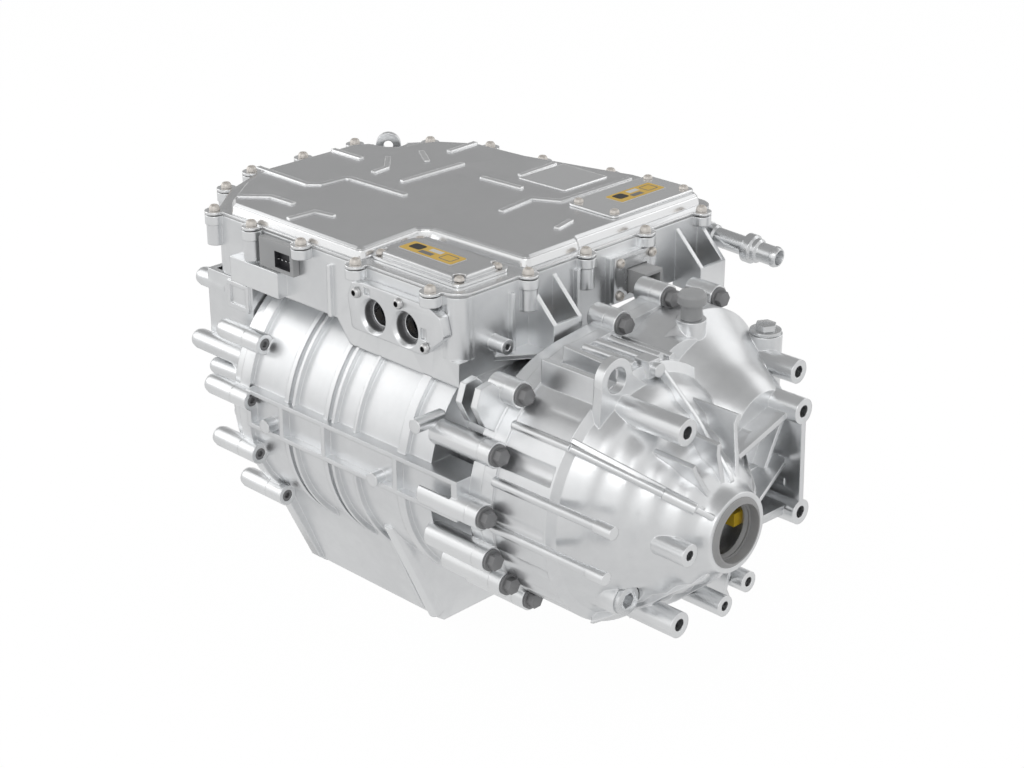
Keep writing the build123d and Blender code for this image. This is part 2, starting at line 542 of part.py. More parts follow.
with BuildPart() as gearbox_housing:
    turn([(JOINT_X, 0)] + CASE_OUTLINE + [(SEAL_X, 0)])
    turn([(JOINT_X, 0)] + DOME_OUTLINE + [(LAY_END_X, 0)], centre=Y_OF_LAY)
    joint_flange(JOINT_X, JOINT_X + JOINT_FLANGE)
    # half-round chamber over the dome that feeds the breather
    rods(JOINT_X, -106, CHAMBER_R, [CHAMBER])
    # tool channels beside the joint bolts, sunk in the barrel
    rods(JOINT_X + JOINT_FLANGE, -98, 10.2, FRONT_JOINT_BOLTS, Mode.SUBTRACT)
    rods(JOINT_X + JOINT_FLANGE, -100, 9.4, TOP_JOINT_BOLTS, Mode.SUBTRACT)
    # bosses for the mounting brackets
    rods(-112, MOUNT_BOSS_X, MOUNT_BOSS_R, [MOUNT_BOSSES[0], MOUNT_BOSSES[3]])
    rods(-134, MOUNT_BOSS_X, MOUNT_BOSS_R, MOUNT_BOSSES[1:3])
    rods(-150, -60, 10, [(150, 66)])
    rods(-110, -40, 9, [(120, -11)])
    rods(-64, SMALL_BOSS_X, 8.5, SMALL_BOSSES)
    rods(-48, -4, 9, [(-49, -2)])
    rods(-98, FILL_PLUG_X, PLUG_R + 2.5, [FILL_PLUG])
    posts(40, LEVEL_PLUG_Z, PLUG_R + 3, [LEVEL_PLUG])
    posts(90, BREATHER_Z, 12, [BREATHER])
    # webs between the bracket bosses at the back
    cross_slab(-128, MOUNT_BOSS_X, [(109, 55), (114, 55), (118, -34), (113, -34)])
    cross_slab(-120, -34, [(36, 36), (39, 32), (112, 52), (110, 57)])
    cross_slab(-120, -34, [(32, -28), (34, -32), (114, -36), (114, -31)])
    cross_slab(-118, -40, [(62, -32), (66, -32), (110, 50), (106, 52)])
    cross_slab(-112, -46, [(50, 7), (50, 10.5), (114, 10.5), (114, 7)])
    cross_slab(-116, -50, [(60, -30), (63, -28), (112, 8), (110, 11)])
    # radial webs down the cone
    for angle in (60, 86, 127, 207, 262, 318):
        radial_rib(angle, 4.0, [(-96, 95), (-94, 108), (-72, 92), (-50, 76), (-30, 58), (-13, 43), (-10, 38),
                                (-12, 33), (-30, 40), (-60, 62)])
    # webs that tie the bracket bosses and the small bosses to the cone and the nose
    for angle in (110.3, 247.2):
        radial_rib(angle, 4.5, [(-100, 84), (MOUNT_BOSS_X - 2, 84), (MOUNT_BOSS_X - 3, 76), (-15, 44), (-11, 33),
                                (-30, 38), (-60, 62)])
    for angle in (274.9, 299.5):
        radial_rib(angle, 4.0, [(-62, 72), (SMALL_BOSS_X - 3, 70), (SMALL_BOSS_X - 4, 62), (-13, 42), (-11, 33),
                                (-30, 38)])
    # two straight rods along the front with capped ends, each on a web down to the nose
    for radius, angle, x_end in ((107.4, 165.3, -30), (107.0, 185.5, -34)):
        radial_rib(angle, 3.6, [(JOINT_X + JOINT_FLANGE, 100), (JOINT_X + JOINT_FLANGE, 109), (x_end - 4, 108),
                                (x_end, 103), (-14, 45), (-12, 33), (-30, 40), (-62, 70), (-92, 94)])
        rods(JOINT_X + JOINT_FLANGE, x_end - 2, ROD_RIB_R, around_motor(radius, angle))
        rods(x_end - 17, x_end, ROD_CAP_R, around_motor(radius, angle))
    # oil line that follows the cone, thicker at its end, with a stub to the seal
    oil_points = [(x, *around_motor(radius, OIL_LINE_ANGLE)[0]) for x, radius in OIL_LINE]
    for start, end, radius in zip(oil_points, oil_points[1:], (3.3, 3.2, 4.6, 2.2)):
        bar(start, end, radius)
    radial_rib(OIL_LINE_ANGLE, 3.6, [(-150, 100), (-150, 107), (-93, 104), (-13, 43), (-12, 33), (-30, 38), (-62, 64),
                                     (-92, 90)])
    # fins along the crown beside the hoisting lug
    rods(JOINT_X + JOINT_FLANGE, -99, 3.6, around_motor(107.5, 69, 77, 85, 93))
    # small sensor post and the capped rod between the cone and the dome
    block((-104, -90), (0, 13), (92, 111))
    rods(-92, -84, 5.5, [(6.5, 104)])
    rods(-100, -44, 5, [(70, 41)])
    # hoisting lug with two gussets
    with BuildSketch(Plane.YZ.offset(HOIST_LUG_X[0])) as lug:
        with BuildLine():
            Polyline((-58, 76), (-55.5, HOIST_HOLE[1]), (-22.5, HOIST_HOLE[1]), (-8, 98), (0, 92), (0, 76),
                     close=True)
        make_face()
        with Locations(HOIST_HOLE):
            Circle(HOIST_EYE_R)
    extrude(lug.sketch, amount=HOIST_LUG_X[1] - HOIST_LUG_X[0])
    side_slab(-54, -49, [(-150, 88), (-150, 112), (HOIST_LUG_X[1], 112), (HOIST_LUG_X[1], 76)])
    side_slab(-30, -25, [(-150, 96), (-150, 116), (HOIST_LUG_X[1], 112), (HOIST_LUG_X[1], 86)])
    # cavities
    turn([(JOINT_X - 1, 0), (JOINT_X - 1, CASE_REGISTER_R), (CASE_SHOULDER_X, CASE_REGISTER_R),
          (CASE_SHOULDER_X, RING_CAVITY_R), (-76, RING_CAVITY_R), (-70, 75), (-62, 66), (-49, 58), (-49, 0)],
         Mode.SUBTRACT)
    turn([(JOINT_X - 1, 0), (JOINT_X - 1, LAY_WHEEL_CAVITY_R), (-134, LAY_WHEEL_CAVITY_R), (-120, 62),
          (-104, 32), (-74, 32), (-74, 0)], Mode.SUBTRACT, centre=Y_OF_LAY)
    rods(JOINT_X - 1, -113, CHAMBER_R - 7, [CHAMBER], Mode.SUBTRACT)
    # the fill plug's boss goes on inside the cavity, and its seat is sunk in the cone
    rods(RING_X[1] + 1, FILL_PLUG_X, PLUG_R + 2.2, [FILL_PLUG])
    rods(FILL_PLUG_X, FILL_PLUG_X + 22, PLUG_R + 1.5, [FILL_PLUG], Mode.SUBTRACT)
    rods(DIFF_RIGHT_BEARING_X - 3, DIFF_RIGHT_BEARING_X + DIFF_BEARING[2], DIFF_BEARING[1] + SEAT_GAP, [(0, 0)],
         Mode.SUBTRACT)
    rods(-40, SEAL_X - SEAL_WIDTH, SEAL_SHOULDER_R, [(0, 0)], Mode.SUBTRACT)
    rods(SEAL_X - SEAL_WIDTH - 1.5, SEAL_X + 1, SEAL_R + SEAT_GAP, [(0, 0)], Mode.SUBTRACT)
    rods(-76, LAY_RIGHT_BEARING_X + LAY_BEARING[2], LAY_BEARING[1] + SEAT_GAP, [Y_OF_LAY], Mode.SUBTRACT)
    # holes
    rods(JOINT_X - 1, JOINT_X + JOINT_FLANGE + 1, M8_R + 0.5, JOINT_BOLTS, Mode.SUBTRACT)
    rods(JOINT_X - 1, JOINT_X + 8, DOWEL_R + SEAT_GAP, DOWELS, Mode.SUBTRACT)
    rods(CASE_SHOULDER_X - 1, CASE_SHOULDER_X + 14, 3 + THREAD_GAP, BRIDGE_SCREWS, Mode.SUBTRACT)
    rods(MOUNT_BOSS_X - 26, MOUNT_BOSS_X + 1, MOUNT_HOLE_R, MOUNT_BOSSES, Mode.SUBTRACT)
    rods(-85, -59, 5, [(150, 66)], Mode.SUBTRACT)
    rods(-60, -39, 4, [(120, -11)], Mode.SUBTRACT)
    rods(-24, -3, 4, [(-49, -2)], Mode.SUBTRACT)
    rods(SMALL_BOSS_X - 18, SMALL_BOSS_X + 1, 4, SMALL_BOSSES, Mode.SUBTRACT)
    rods(HOIST_LUG_X[0] - 1, HOIST_LUG_X[1] + 1, HOIST_HOLE_R, [HOIST_HOLE], Mode.SUBTRACT)
    rods(FILL_PLUG_X - 14, FILL_PLUG_X + 1, PLUG_R - 2 + THREAD_GAP, [FILL_PLUG], Mode.SUBTRACT)
    posts(LEVEL_PLUG_Z - 14, LEVEL_PLUG_Z + 1, PLUG_R - 2 + THREAD_GAP, [LEVEL_PLUG], Mode.SUBTRACT)
    posts(BREATHER_Z - 16, BREATHER_Z + 1, 5 + THREAD_GAP, [BREATHER], Mode.SUBTRACT)
save(gearbox_housing, "gearbox_housing")

# Bearing bridge: the disc inside the casing that carries the differential's left bearing
BRIDGE_X = (DIFF_LEFT_BEARING_X - 1.0, CASE_SHOULDER_X - FACE_GAP)
with BuildPart() as bearing_bridge:
    rods(BRIDGE_X[1] - 8, BRIDGE_X[1], CASE_REGISTER_R - SEAT_GAP, [(0, 0)])
    rods(BRIDGE_X[0], BRIDGE_X[1], DIFF_BEARING[1] + 7, [(0, 0)])
    rods(BRIDGE_X[0] - 1, BRIDGE_X[1] + 1, JOURNAL_R + 4, [(0, 0)], Mode.SUBTRACT)
    rods(DIFF_LEFT_BEARING_X, BRIDGE_X[1] + 1, DIFF_BEARING[1] + SEAT_GAP, [(0, 0)], Mode.SUBTRACT)
    rods(BRIDGE_X[0] - 1, BRIDGE_X[1] + 1, LAY_SHAFT_R + 14, [Y_OF_LAY], Mode.SUBTRACT)
    rods(BRIDGE_X[0] - 1, BRIDGE_X[1] + 1, 16, around_motor(66, 110, 155, 200, 245, 290), Mode.SUBTRACT)
    rods(BRIDGE_X[0] - 1, BRIDGE_X[1] + 1, 3.3, BRIDGE_SCREWS, Mode.SUBTRACT)
save(bearing_bridge, "bearing_bridge")

# Inverter housing: tray saddled on the barrel, with a skirt down to the neck at the right
SKIRT_X = -331.0
SLOT_X = (-507.0, -480.0)
SLOT_Y = (-72.0, 36.0)
PORT_X = (-293.0, -256.0)
PORT_Z = 118.0
PORT_R = 13.0
PLATE_SCREWS = [(-311, 134), (-233, 109), (-262, 138)]
BRACKETS = (6.0, 184.0)
BRACKET_X = -178.0
BRACKET_HALF = 16.0
SHELF_Z = 104.0
FRONT_BAY = ((-440.0, -216.0), (-80.0, -57.0), 107.0)
BACK_BAY = [(-215, 112), (-215, 211), (-290, 211), (-327, 205), (-398, 190), (-457, 187), (-499, 160), (-537, 122),
            (-537, 112)]
BACK_BAY_Z = 106.0
BOARD_Z = 142.0
BOARD_POSTS = [(-466, -46), (-229, -46), (-229, 101), (-466, 101)]

with BuildPart() as inverter_housing:
    inverter_slab(INV_BOTTOM_Z, INV_TOP_Z)
    side_slab(INV_FRONT_Y, 62, [(SKIRT_X, INV_SKIRT_Z), (SKIRT_X - 16, INV_BOTTOM_Z + 1),
                                (INV_RIGHT_X, INV_BOTTOM_Z + 1), (INV_RIGHT_X, INV_SKIRT_Z)])
    posts(INV_SKIRT_Z, INV_TOP_Z, 12, [(INV_RIGHT_X - 12, INV_FRONT_Y + 12)])
    posts(INV_TOP_Z - 26, INV_TOP_Z, SCREW_BOSS_R - 1, DEEP_BOSSES)
    with BuildSketch(Plane.XY.offset(INV_TOP_Z - 8)) as rim:
        with Locations(*COVER_SCREWS):
            Circle(SCREW_BOSS_R)
    extrude(amount=8)
    barrel_envelope(FACE_GAP, Mode.SUBTRACT)
    block((BARREL_END_X - 2, INV_RIGHT_X + 1), (-70, 80), (INV_SKIRT_Z - 1, NECK_R + 1.5), Mode.SUBTRACT)
    # right wall: two gusseted brackets with a shelf each
    for y in BRACKETS:
        block((INV_RIGHT_X - 2, BRACKET_X), (y - BRACKET_HALF, y + BRACKET_HALF), (SHELF_Z - 6, SHELF_Z))
        block((BRACKET_X - 3, BRACKET_X), (y - BRACKET_HALF, y + BRACKET_HALF), (SHELF_Z - 10, SHELF_Z + 14))
        for edge in (y - BRACKET_HALF, y + BRACKET_HALF - 4):
            side_slab(edge, edge + 4, [(INV_RIGHT_X - 2, SHELF_Z - 8), (INV_RIGHT_X - 2, 148),
                                       (BRACKET_X, SHELF_Z + 14), (BRACKET_X, SHELF_Z - 10)])
    # triangular shelf beside the first bracket and the tapped boss on the wall
    with BuildSketch(Plane.XY.offset(SHELF_Z - 12)) as shelf:
        with BuildLine():
            Polyline((INV_RIGHT_X - 2, -50), (BRACKET_X, -10), (BRACKET_X, 20), (INV_RIGHT_X - 2, 40), close=True)
        make_face()
    extrude(amount=4)
    rods(INV_RIGHT_X - 2, INV_RIGHT_X + 15, 6.5, [(-48, 108)])
    for y in (-30, 44):
        block((INV_RIGHT_X - 2, INV_RIGHT_X + 4), (y - 2, y + 2), (INV_BOTTOM_Z - 6, INV_TOP_Z - 8))
    # seat of the coolant pipe and the pad that carries the signal connector
    spin([(-4, 0), (-4, 10.5), (INLET_SEAT - SEAT_GAP, 10.5), (INLET_SEAT - SEAT_GAP, 0)], INLET, INLET_WAY)
    block((INV_RIGHT_X - 2, INV_RIGHT_X + 5), (80, 136), (104, 143.8))
    # front wall: panel ribs and the recess of the low-voltage plug
    block((-354, -350), (INV_FRONT_Y - 3, INV_FRONT_Y + 1), (INV_BOTTOM_Z, INV_TOP_Z - 8))
    block((-470, -408), (INV_FRONT_Y - 10, INV_FRONT_Y + 1), (INV_BOTTOM_Z + 2, 124))
    # lifting eye that stands outside the back left edge
    eye_plane = Plane(origin=LIFT_EYE, x_dir=(1, 1, 0), z_dir=(1, -1, 0))
    with BuildSketch(eye_plane) as eye:
        Circle(LIFT_EYE_R)
        with Locations((0, -18)):
            Rectangle(2 * LIFT_EYE_R, 36)
        Circle(4.5, mode=Mode.SUBTRACT)
    extrude(amount=3, both=True)
    with BuildSketch(eye_plane) as eye_foot:
        with Locations((0, -27)):
            Rectangle(2 * LIFT_EYE_R, 18)
    extrude(amount=22)
    # chamber, bays and openings
    spin([(-12, 0), (-12, SPIGOT_BORE_R), (8, SPIGOT_BORE_R), (8, 0)], INLET, INLET_WAY, Mode.SUBTRACT)
    inverter_slab(INV_FLOOR_Z, INV_TOP_Z + 1, inset=INV_WALL + 4, mode=Mode.SUBTRACT)
    block(FRONT_BAY[0], FRONT_BAY[1], (FRONT_BAY[2], INV_FLOOR_Z + 1), Mode.SUBTRACT)
    plan_slab(BACK_BAY_Z, INV_FLOOR_Z + 1, BACK_BAY, Mode.SUBTRACT)
    posts(INV_FLOOR_Z - 1, BOARD_Z - SEAT_GAP, 4, BOARD_POSTS)
    block(SLOT_X, SLOT_Y, (INV_BOTTOM_Z - 1, INV_FLOOR_Z + 1), Mode.SUBTRACT)
    front_rods(INV_FRONT_Y - 12, INV_FRONT_Y + 18, PORT_R + 4, [(x, PORT_Z) for x in PORT_X], Mode.SUBTRACT)
    front_rods(INV_FRONT_Y - 1, INV_FRONT_Y + 4, M5_R, PLATE_SCREWS, Mode.SUBTRACT)
    posts(INV_TOP_Z - 7.5, INV_TOP_Z + 1, M5_R + THREAD_GAP, COVER_SCREWS, Mode.SUBTRACT)
    posts(SHELF_Z - 20, SHELF_Z + 1, 3.1, [(-191, y) for y in BRACKETS], Mode.SUBTRACT)
    rods(INV_RIGHT_X + 2, INV_RIGHT_X + 16, 2.6, [(-48, 108)], Mode.SUBTRACT)
save(inverter_housing, "inverter_housing")

# Rotor: hollow shaft with the input pinion cut on it, laminated core, magnets and end plates
ROTOR_X = (ROTOR_REAR_BEARING_X + 0.5, INPUT_GEAR_X[1] + 1.0)
CORE_R = STATOR_BORE_R - AIR_GAP
MAGNET_R = 60.0
MAGNET = (6.0, 34.0)
with BuildPart() as rotor_shaft:
    turn([(ROTOR_X[0], 0), (ROTOR_X[0], JOURNAL_R),
          (ROTOR_REAR_BEARING_X + ROTOR_BEARING[2] + SEAT_GAP, JOURNAL_R),
          (ROTOR_REAR_BEARING_X + ROTOR_BEARING[2] + SEAT_GAP, JOURNAL_R + 3), (-398, JOURNAL_R + 3),
          (-398, ROTOR_SEAT_R), (STATOR_X[1] + 8, ROTOR_SEAT_R), (STATOR_X[1] + 8, ROTOR_SEAT_R + 6),
          (STATOR_X[1] + 15, ROTOR_SEAT_R + 6), (STATOR_X[1] + 15, JOURNAL_R + 4),
          (ROTOR_FRONT_BEARING_X - SEAT_GAP, JOURNAL_R + 4), (ROTOR_FRONT_BEARING_X - SEAT_GAP, JOURNAL_R),
          (ROTOR_X[1], JOURNAL_R), (ROTOR_X[1], 0)])
    gear(INPUT_GEAR_X, INPUT_TEETH, INPUT_MODULE, LAY_ANGLE)
    rods(ROTOR_X[0] - 1, ROTOR_X[1] + 1, ROTOR_BORE_R, [(0, 0)], Mode.SUBTRACT)
save(rotor_shaft, "rotor_shaft")

with BuildPart() as rotor_core:
    tube(STATOR_X[0], STATOR_X[1], CORE_R, ROTOR_SEAT_R + SEAT_GAP)
    spokes(STATOR_X[0] - 1, STATOR_X[1] + 1, POLES, MAGNET_R - MAGNET[0] / 2, MAGNET_R + MAGNET[0] / 2, MAGNET[1],
           Mode.SUBTRACT)
    rods(STATOR_X[0] - 1, STATOR_X[1] + 1, 7, around_motor(42, *range(0, 360, 45)), Mode.SUBTRACT)
save(rotor_core, "rotor_core")

with BuildPart() as rotor_magnets:
    spokes(STATOR_X[0] + 0.5, STATOR_X[1] - 0.5, POLES, MAGNET_R - MAGNET[0] / 2 + SEAT_GAP,
           MAGNET_R + MAGNET[0] / 2 - SEAT_GAP, MAGNET[1] - 2 * SEAT_GAP)
save(rotor_magnets, "rotor_magnets")

with BuildPart() as rotor_end_plates:
    tube(STATOR_X[0] - 4, STATOR_X[0] - SEAT_GAP, CORE_R - 1, ROTOR_SEAT_R + SEAT_GAP)
    tube(STATOR_X[1] + SEAT_GAP, STATOR_X[1] + 8 - SEAT_GAP, CORE_R - 1, ROTOR_SEAT_R + SEAT_GAP)
save(rotor_end_plates, "rotor_end_plates")

# Stator: laminated core, winding and the sleeve that closes the coolant jacket
CROWN_R = (STATOR_BORE_R + 2, STATOR_BORE_R + SLOT_DEPTH + 3)
SLEEVE_X = (STATOR_X[0] - 12, STATOR_X[1] + 12)
with BuildPart() as stator_core:
    tube(STATOR_X[0], STATOR_X[1], STATOR_R, STATOR_BORE_R)
    spokes(STATOR_X[0] - 1, STATOR_X[1] + 1, SLOTS, STATOR_BORE_R - 1, STATOR_BORE_R + SLOT_DEPTH, SLOT_WIDTH,
           Mode.SUBTRACT)
save(stator_core, "stator_core")

with BuildPart() as stator_winding:
    tube(STATOR_X[0] - CROWN_LENGTH, STATOR_X[0] - FACE_GAP, CROWN_R[1], CROWN_R[0])
    tube(STATOR_X[1] + FACE_GAP, STATOR_X[1] + CROWN_LENGTH, CROWN_R[1], CROWN_R[0])
    spokes(STATOR_X[0] - 2, STATOR_X[1] + 2, SLOTS, CROWN_R[0] + 0.5, STATOR_BORE_R + SLOT_DEPTH - SEAT_GAP,
           SLOT_WIDTH - 2 * SEAT_GAP)
save(stator_winding, "stator_winding")

with BuildPart() as cooling_sleeve:
    tube(SLEEVE_X[0], SLEEVE_X[1], SLEEVE_R, STATOR_R + SEAT_GAP)
    for x in (SLEEVE_X[0], -362, -324, -286, SLEEVE_X[1] - 4):
        tube(x, x + 4, SLEEVE_BORE_R - SEAT_GAP, SLEEVE_R - 1)
save(cooling_sleeve, "cooling_sleeve")

# Layshaft with its final-drive pinion, and the big wheel pressed on it
LAY_X = (LAY_LEFT_BEARING_X + 0.5, LAY_RIGHT_BEARING_X + LAY_BEARING[2] - 0.5)
with BuildPart() as layshaft:
    turn([(LAY_X[0], 0), (LAY_X[0], LAY_JOURNAL_R), (LAY_LEFT_BEARING_X + LAY_BEARING[2] + SEAT_GAP, LAY_JOURNAL_R),
          (LAY_LEFT_BEARING_X + LAY_BEARING[2] + SEAT_GAP, LAY_SHAFT_R), (LAY_RIGHT_BEARING_X - SEAT_GAP, LAY_SHAFT_R),
          (LAY_RIGHT_BEARING_X - SEAT_GAP, LAY_JOURNAL_R), (LAY_X[1], LAY_JOURNAL_R), (LAY_X[1], 0)], centre=Y_OF_LAY)
    gear(LAY_PINION_X, LAY_PINION_TEETH, FINAL_MODULE, LAY_ANGLE + 180 + 180 / LAY_PINION_TEETH, Y_OF_LAY)
save(layshaft, "layshaft")

with BuildPart() as layshaft_wheel:
    gear(INPUT_GEAR_X, LAY_WHEEL_TEETH, INPUT_MODULE, LAY_ANGLE + 180 + 180 / LAY_WHEEL_TEETH, Y_OF_LAY)
    tube(INPUT_GEAR_X[0] - 1, INPUT_GEAR_X[0] + 6, 64, 27, Mode.SUBTRACT, Y_OF_LAY)
    tube(INPUT_GEAR_X[1] - 6, INPUT_GEAR_X[1] + 1, 64, 27, Mode.SUBTRACT, Y_OF_LAY)
    rods(INPUT_GEAR_X[0] - 1, INPUT_GEAR_X[1] + 1, LAY_SHAFT_R + SEAT_GAP, [Y_OF_LAY], Mode.SUBTRACT)
    rods(INPUT_GEAR_X[0] - 1, INPUT_GEAR_X[1] + 1, 12, around_layshaft(46, *range(0, 360, 60)), Mode.SUBTRACT)
save(layshaft_wheel, "layshaft_wheel")

# Differential: cage, ring gear, four bevel gears on the cross pin
CAGE_X = (-105.0, -51.0)
CAGE_R = 44.0
CAGE_CAVITY_R = 38.0
CAGE_CAVITY_HALF = 22.5
CAGE_FLANGE_X = (-89.9, -84.5)
RING_WEB_X = -90.0
RING_BOLT_R = 56.0
RING_BOLTS = around_motor(RING_BOLT_R, *range(0, 360, 36))
CROSS_PIN_R = 7.0
HUB_R = 19.0
TRUNNION_X = (DIFF_LEFT_BEARING_X + 0.3, DIFF_RIGHT_BEARING_X + DIFF_BEARING[2] - 0.3)
with BuildPart() as differential_case:
    turn([(TRUNNION_X[0], 0), (TRUNNION_X[0], JOURNAL_R),
          (DIFF_LEFT_BEARING_X + DIFF_BEARING[2] + SEAT_GAP, JOURNAL_R),
          (DIFF_LEFT_BEARING_X + DIFF_BEARING[2] + SEAT_GAP, JOURNAL_R + 5), (CAGE_X[0], JOURNAL_R + 5),
          (CAGE_X[0], CAGE_R), (CAGE_X[1], CAGE_R), (CAGE_X[1], JOURNAL_R + 5),
          (DIFF_RIGHT_BEARING_X - SEAT_GAP, JOURNAL_R + 5), (DIFF_RIGHT_BEARING_X - SEAT_GAP, JOURNAL_R),
          (TRUNNION_X[1], JOURNAL_R), (TRUNNION_X[1], 0)])
    tube(CAGE_FLANGE_X[0], CAGE_FLANGE_X[1], 67.5, CAGE_R - 3)
    rods(DIFF_X - CAGE_CAVITY_HALF, DIFF_X + CAGE_CAVITY_HALF, CAGE_CAVITY_R, [(0, 0)], Mode.SUBTRACT)
    rods(DIFF_X - 29, DIFF_X + 28, HUB_R + SEAT_GAP, [(0, 0)], Mode.SUBTRACT)
    rods(TRUNNION_X[0] - 1, TRUNNION_X[1] + 1, ROTOR_BORE_R, [(0, 0)], Mode.SUBTRACT)
    block((CAGE_FLANGE_X[1] + 2, DIFF_X + 20), (-CAGE_R - 1, CAGE_R + 1), (-20, 20), Mode.SUBTRACT)
    posts(-CAGE_R - 1, CAGE_R + 1, CROSS_PIN_R + SEAT_GAP, [(DIFF_X, 0)], Mode.SUBTRACT)
    rods(CAGE_FLANGE_X[0] - 1, CAGE_FLANGE_X[1] + 1, M8_R + 0.2, RING_BOLTS, Mode.SUBTRACT)
save(differential_case, "differential_case")

with BuildPart() as ring_gear:
    gear(RING_X, RING_TEETH, FINAL_MODULE, LAY_ANGLE)
    rods(RING_WEB_X, RING_X[1] + 1, 68, [(0, 0)], Mode.SUBTRACT)
    rods(RING_X[0] - 1, RING_WEB_X + 1, CAGE_R + SEAT_GAP, [(0, 0)], Mode.SUBTRACT)
    rods(RING_X[0] - 1, RING_WEB_X + 1, M8_R + THREAD_GAP, RING_BOLTS, Mode.SUBTRACT)
save(ring_gear, "ring_gear")

with BuildPart() as ring_gear_bolts:
    rods(RING_X[0] + 0.5, CAGE_FLANGE_X[1] + SEAT_GAP, M8_R, RING_BOLTS)
    hex_head(CAGE_FLANGE_X[1] + SEAT_GAP, RING_BOLTS, M8_HEX_R, 5.5, 1)
save(ring_gear_bolts, "ring_gear_bolts")

with BuildPart() as cross_pin:
    posts(-CAGE_R + 0.2, CAGE_R - 0.2, CROSS_PIN_R, [(DIFF_X, 0)])
save(cross_pin, "cross_pin")

SIDE_OUTLINE = [(9, OUTPUT_BORE_R), (9, 16.5), (14.5, 18), (21.5, 26.6), (22.2, 26.6), (22.2, HUB_R - SEAT_GAP),
                (27.3, HUB_R - SEAT_GAP), (27.3, OUTPUT_BORE_R)]
SPIDER_OUTLINE = [(20.9, CROSS_PIN_R + RUN_GAP), (20.9, 9.8), (31, 14.5), (31.2, 13), (35.2, 13),
                  (35.2, CROSS_PIN_R + RUN_GAP)]
for name, side in (("side_gear_left", -1), ("side_gear_right", 1)):
    with BuildPart() as side_gear:
        turn([(DIFF_X + side * along, radius) for along, radius in SIDE_OUTLINE])
        bevel_teeth(SIDE_TEETH, SIDE_PITCH_R, SPIDER_PITCH_R, (side, 0, 0), (0, 0, 1))
    save(side_gear, name)

for name, side in (("spider_gear_upper", 1), ("spider_gear_lower", -1)):
    with BuildPart() as spider_gear:
        spin(SPIDER_OUTLINE, (DIFF_X, 0, 0), (0, 0, side))
        bevel_teeth(SPIDER_TEETH, SPIDER_PITCH_R, SIDE_PITCH_R, (0, 0, side), (1, 0, 0), math.pi / SPIDER_TEETH)
    save(spider_gear, name)

# Shaft that carries the left output through the hollow rotor to the tail
OUTPUT_END_X = TAIL_X + 3.0
with BuildPart() as intermediate_shaft:
    turn([(OUTPUT_END_X, 0), (OUTPUT_END_X, TAIL_BEARING[0]), (TAIL_BEARING_X + TAIL_BEARING[2] + 1.5, TAIL_BEARING[0]),
          (TAIL_BEARING_X + TAIL_BEARING[2] + 1.5, INNER_SHAFT_R), (DIFF_X - 24, INNER_SHAFT_R),
          (DIFF_X - 24, OUTPUT_BORE_R - SEAT_GAP), (DIFF_X - 12, OUTPUT_BORE_R - SEAT_GAP), (DIFF_X - 12, 0)])
    rods(OUTPUT_END_X - 1, OUTPUT_END_X + 26, OUTPUT_BORE_R, [(0, 0)], Mode.SUBTRACT)
save(intermediate_shaft, "intermediate_shaft")

# Bearings: outer ring, inner ring and a cage ring between them, standing in for the balls
RING_SHARE = 0.28
STATIONS = {
    "rotor_bearing": (ROTOR_BEARING, (ROTOR_REAR_BEARING_X, ROTOR_FRONT_BEARING_X), (0.0, 0.0)),
    "differential_bearing": (DIFF_BEARING, (DIFF_LEFT_BEARING_X, DIFF_RIGHT_BEARING_X), (0.0, 0.0)),
    "layshaft_bearing": (LAY_BEARING, (LAY_LEFT_BEARING_X, LAY_RIGHT_BEARING_X), Y_OF_LAY),
    "tail_bearing": (TAIL_BEARING, (TAIL_BEARING_X,), (0.0, 0.0)),
}
for name, ((bore, outer, width), starts, centre) in STATIONS.items():
    wall = RING_SHARE * (outer - bore)
    with BuildPart() as inner_rings:
        for x in starts:
            tube(x + SEAT_GAP, x + width - SEAT_GAP, bore + wall, bore + SEAT_GAP, centre=centre)
    save(inner_rings, name + "_inner")

with BuildPart() as bearing_outer_rings:
    for (bore, outer, width), starts, centre in STATIONS.values():
        wall = RING_SHARE * (outer - bore)
        for x in starts:
            tube(x + SEAT_GAP, x + width - SEAT_GAP, outer, outer - wall, centre=centre)
save(bearing_outer_rings, "bearing_outer_rings")

with BuildPart() as bearing_cages:
    for (bore, outer, width), starts, centre in STATIONS.values():
        wall = RING_SHARE * (outer - bore)
        for x in starts:
            tube(x + 2, x + width - 2, outer - wall - SEAT_GAP, bore + wall + SEAT_GAP, centre=centre)
save(bearing_cages, "bearing_cages")

# Output seals and the oil guide behind the right one
COLLAR_X = SEAL_X + 3.0
COLLAR_R = 23.5
with BuildPart() as output_seal_right:
    turn([(SEAL_X - SEAL_WIDTH - 1, SEAL_R), (SEAL_X, SEAL_R), (COLLAR_X - 0.4, COLLAR_R + 1.6),
          (COLLAR_X, COLLAR_R + 0.8), (COLLAR_X - 0.3, COLLAR_R), (SEAL_X - 5, COLLAR_R), (SEAL_X - 5.2, 21.8),
          (SEAL_X - 6.6, 22.4), (SEAL_X - 8, 21.2), (SEAL_X - 9.6, 20.5), (SEAL_X - SEAL_WIDTH - 1, 22.4)])
save(output_seal_right, "output_seal_right")

with BuildPart() as output_seal_left:
    turn([(TAIL_X + SEAL_WIDTH + 1, TAIL_BEARING[1]), (TAIL_X + 1, TAIL_BEARING[1]), (TAIL_X + 1, TAIL_BEARING[1] - 3),
          (TAIL_X + 3.2, TAIL_BEARING[1] - 4), (TAIL_X + 3.2, 21), (TAIL_X + 6, TAIL_BEARING[0] + RUN_GAP),
          (TAIL_X + 8, TAIL_BEARING[0] + RUN_GAP), (TAIL_X + 9, 24), (TAIL_X + SEAL_WIDTH + 1, 28)])
save(output_seal_left, "output_seal_left")

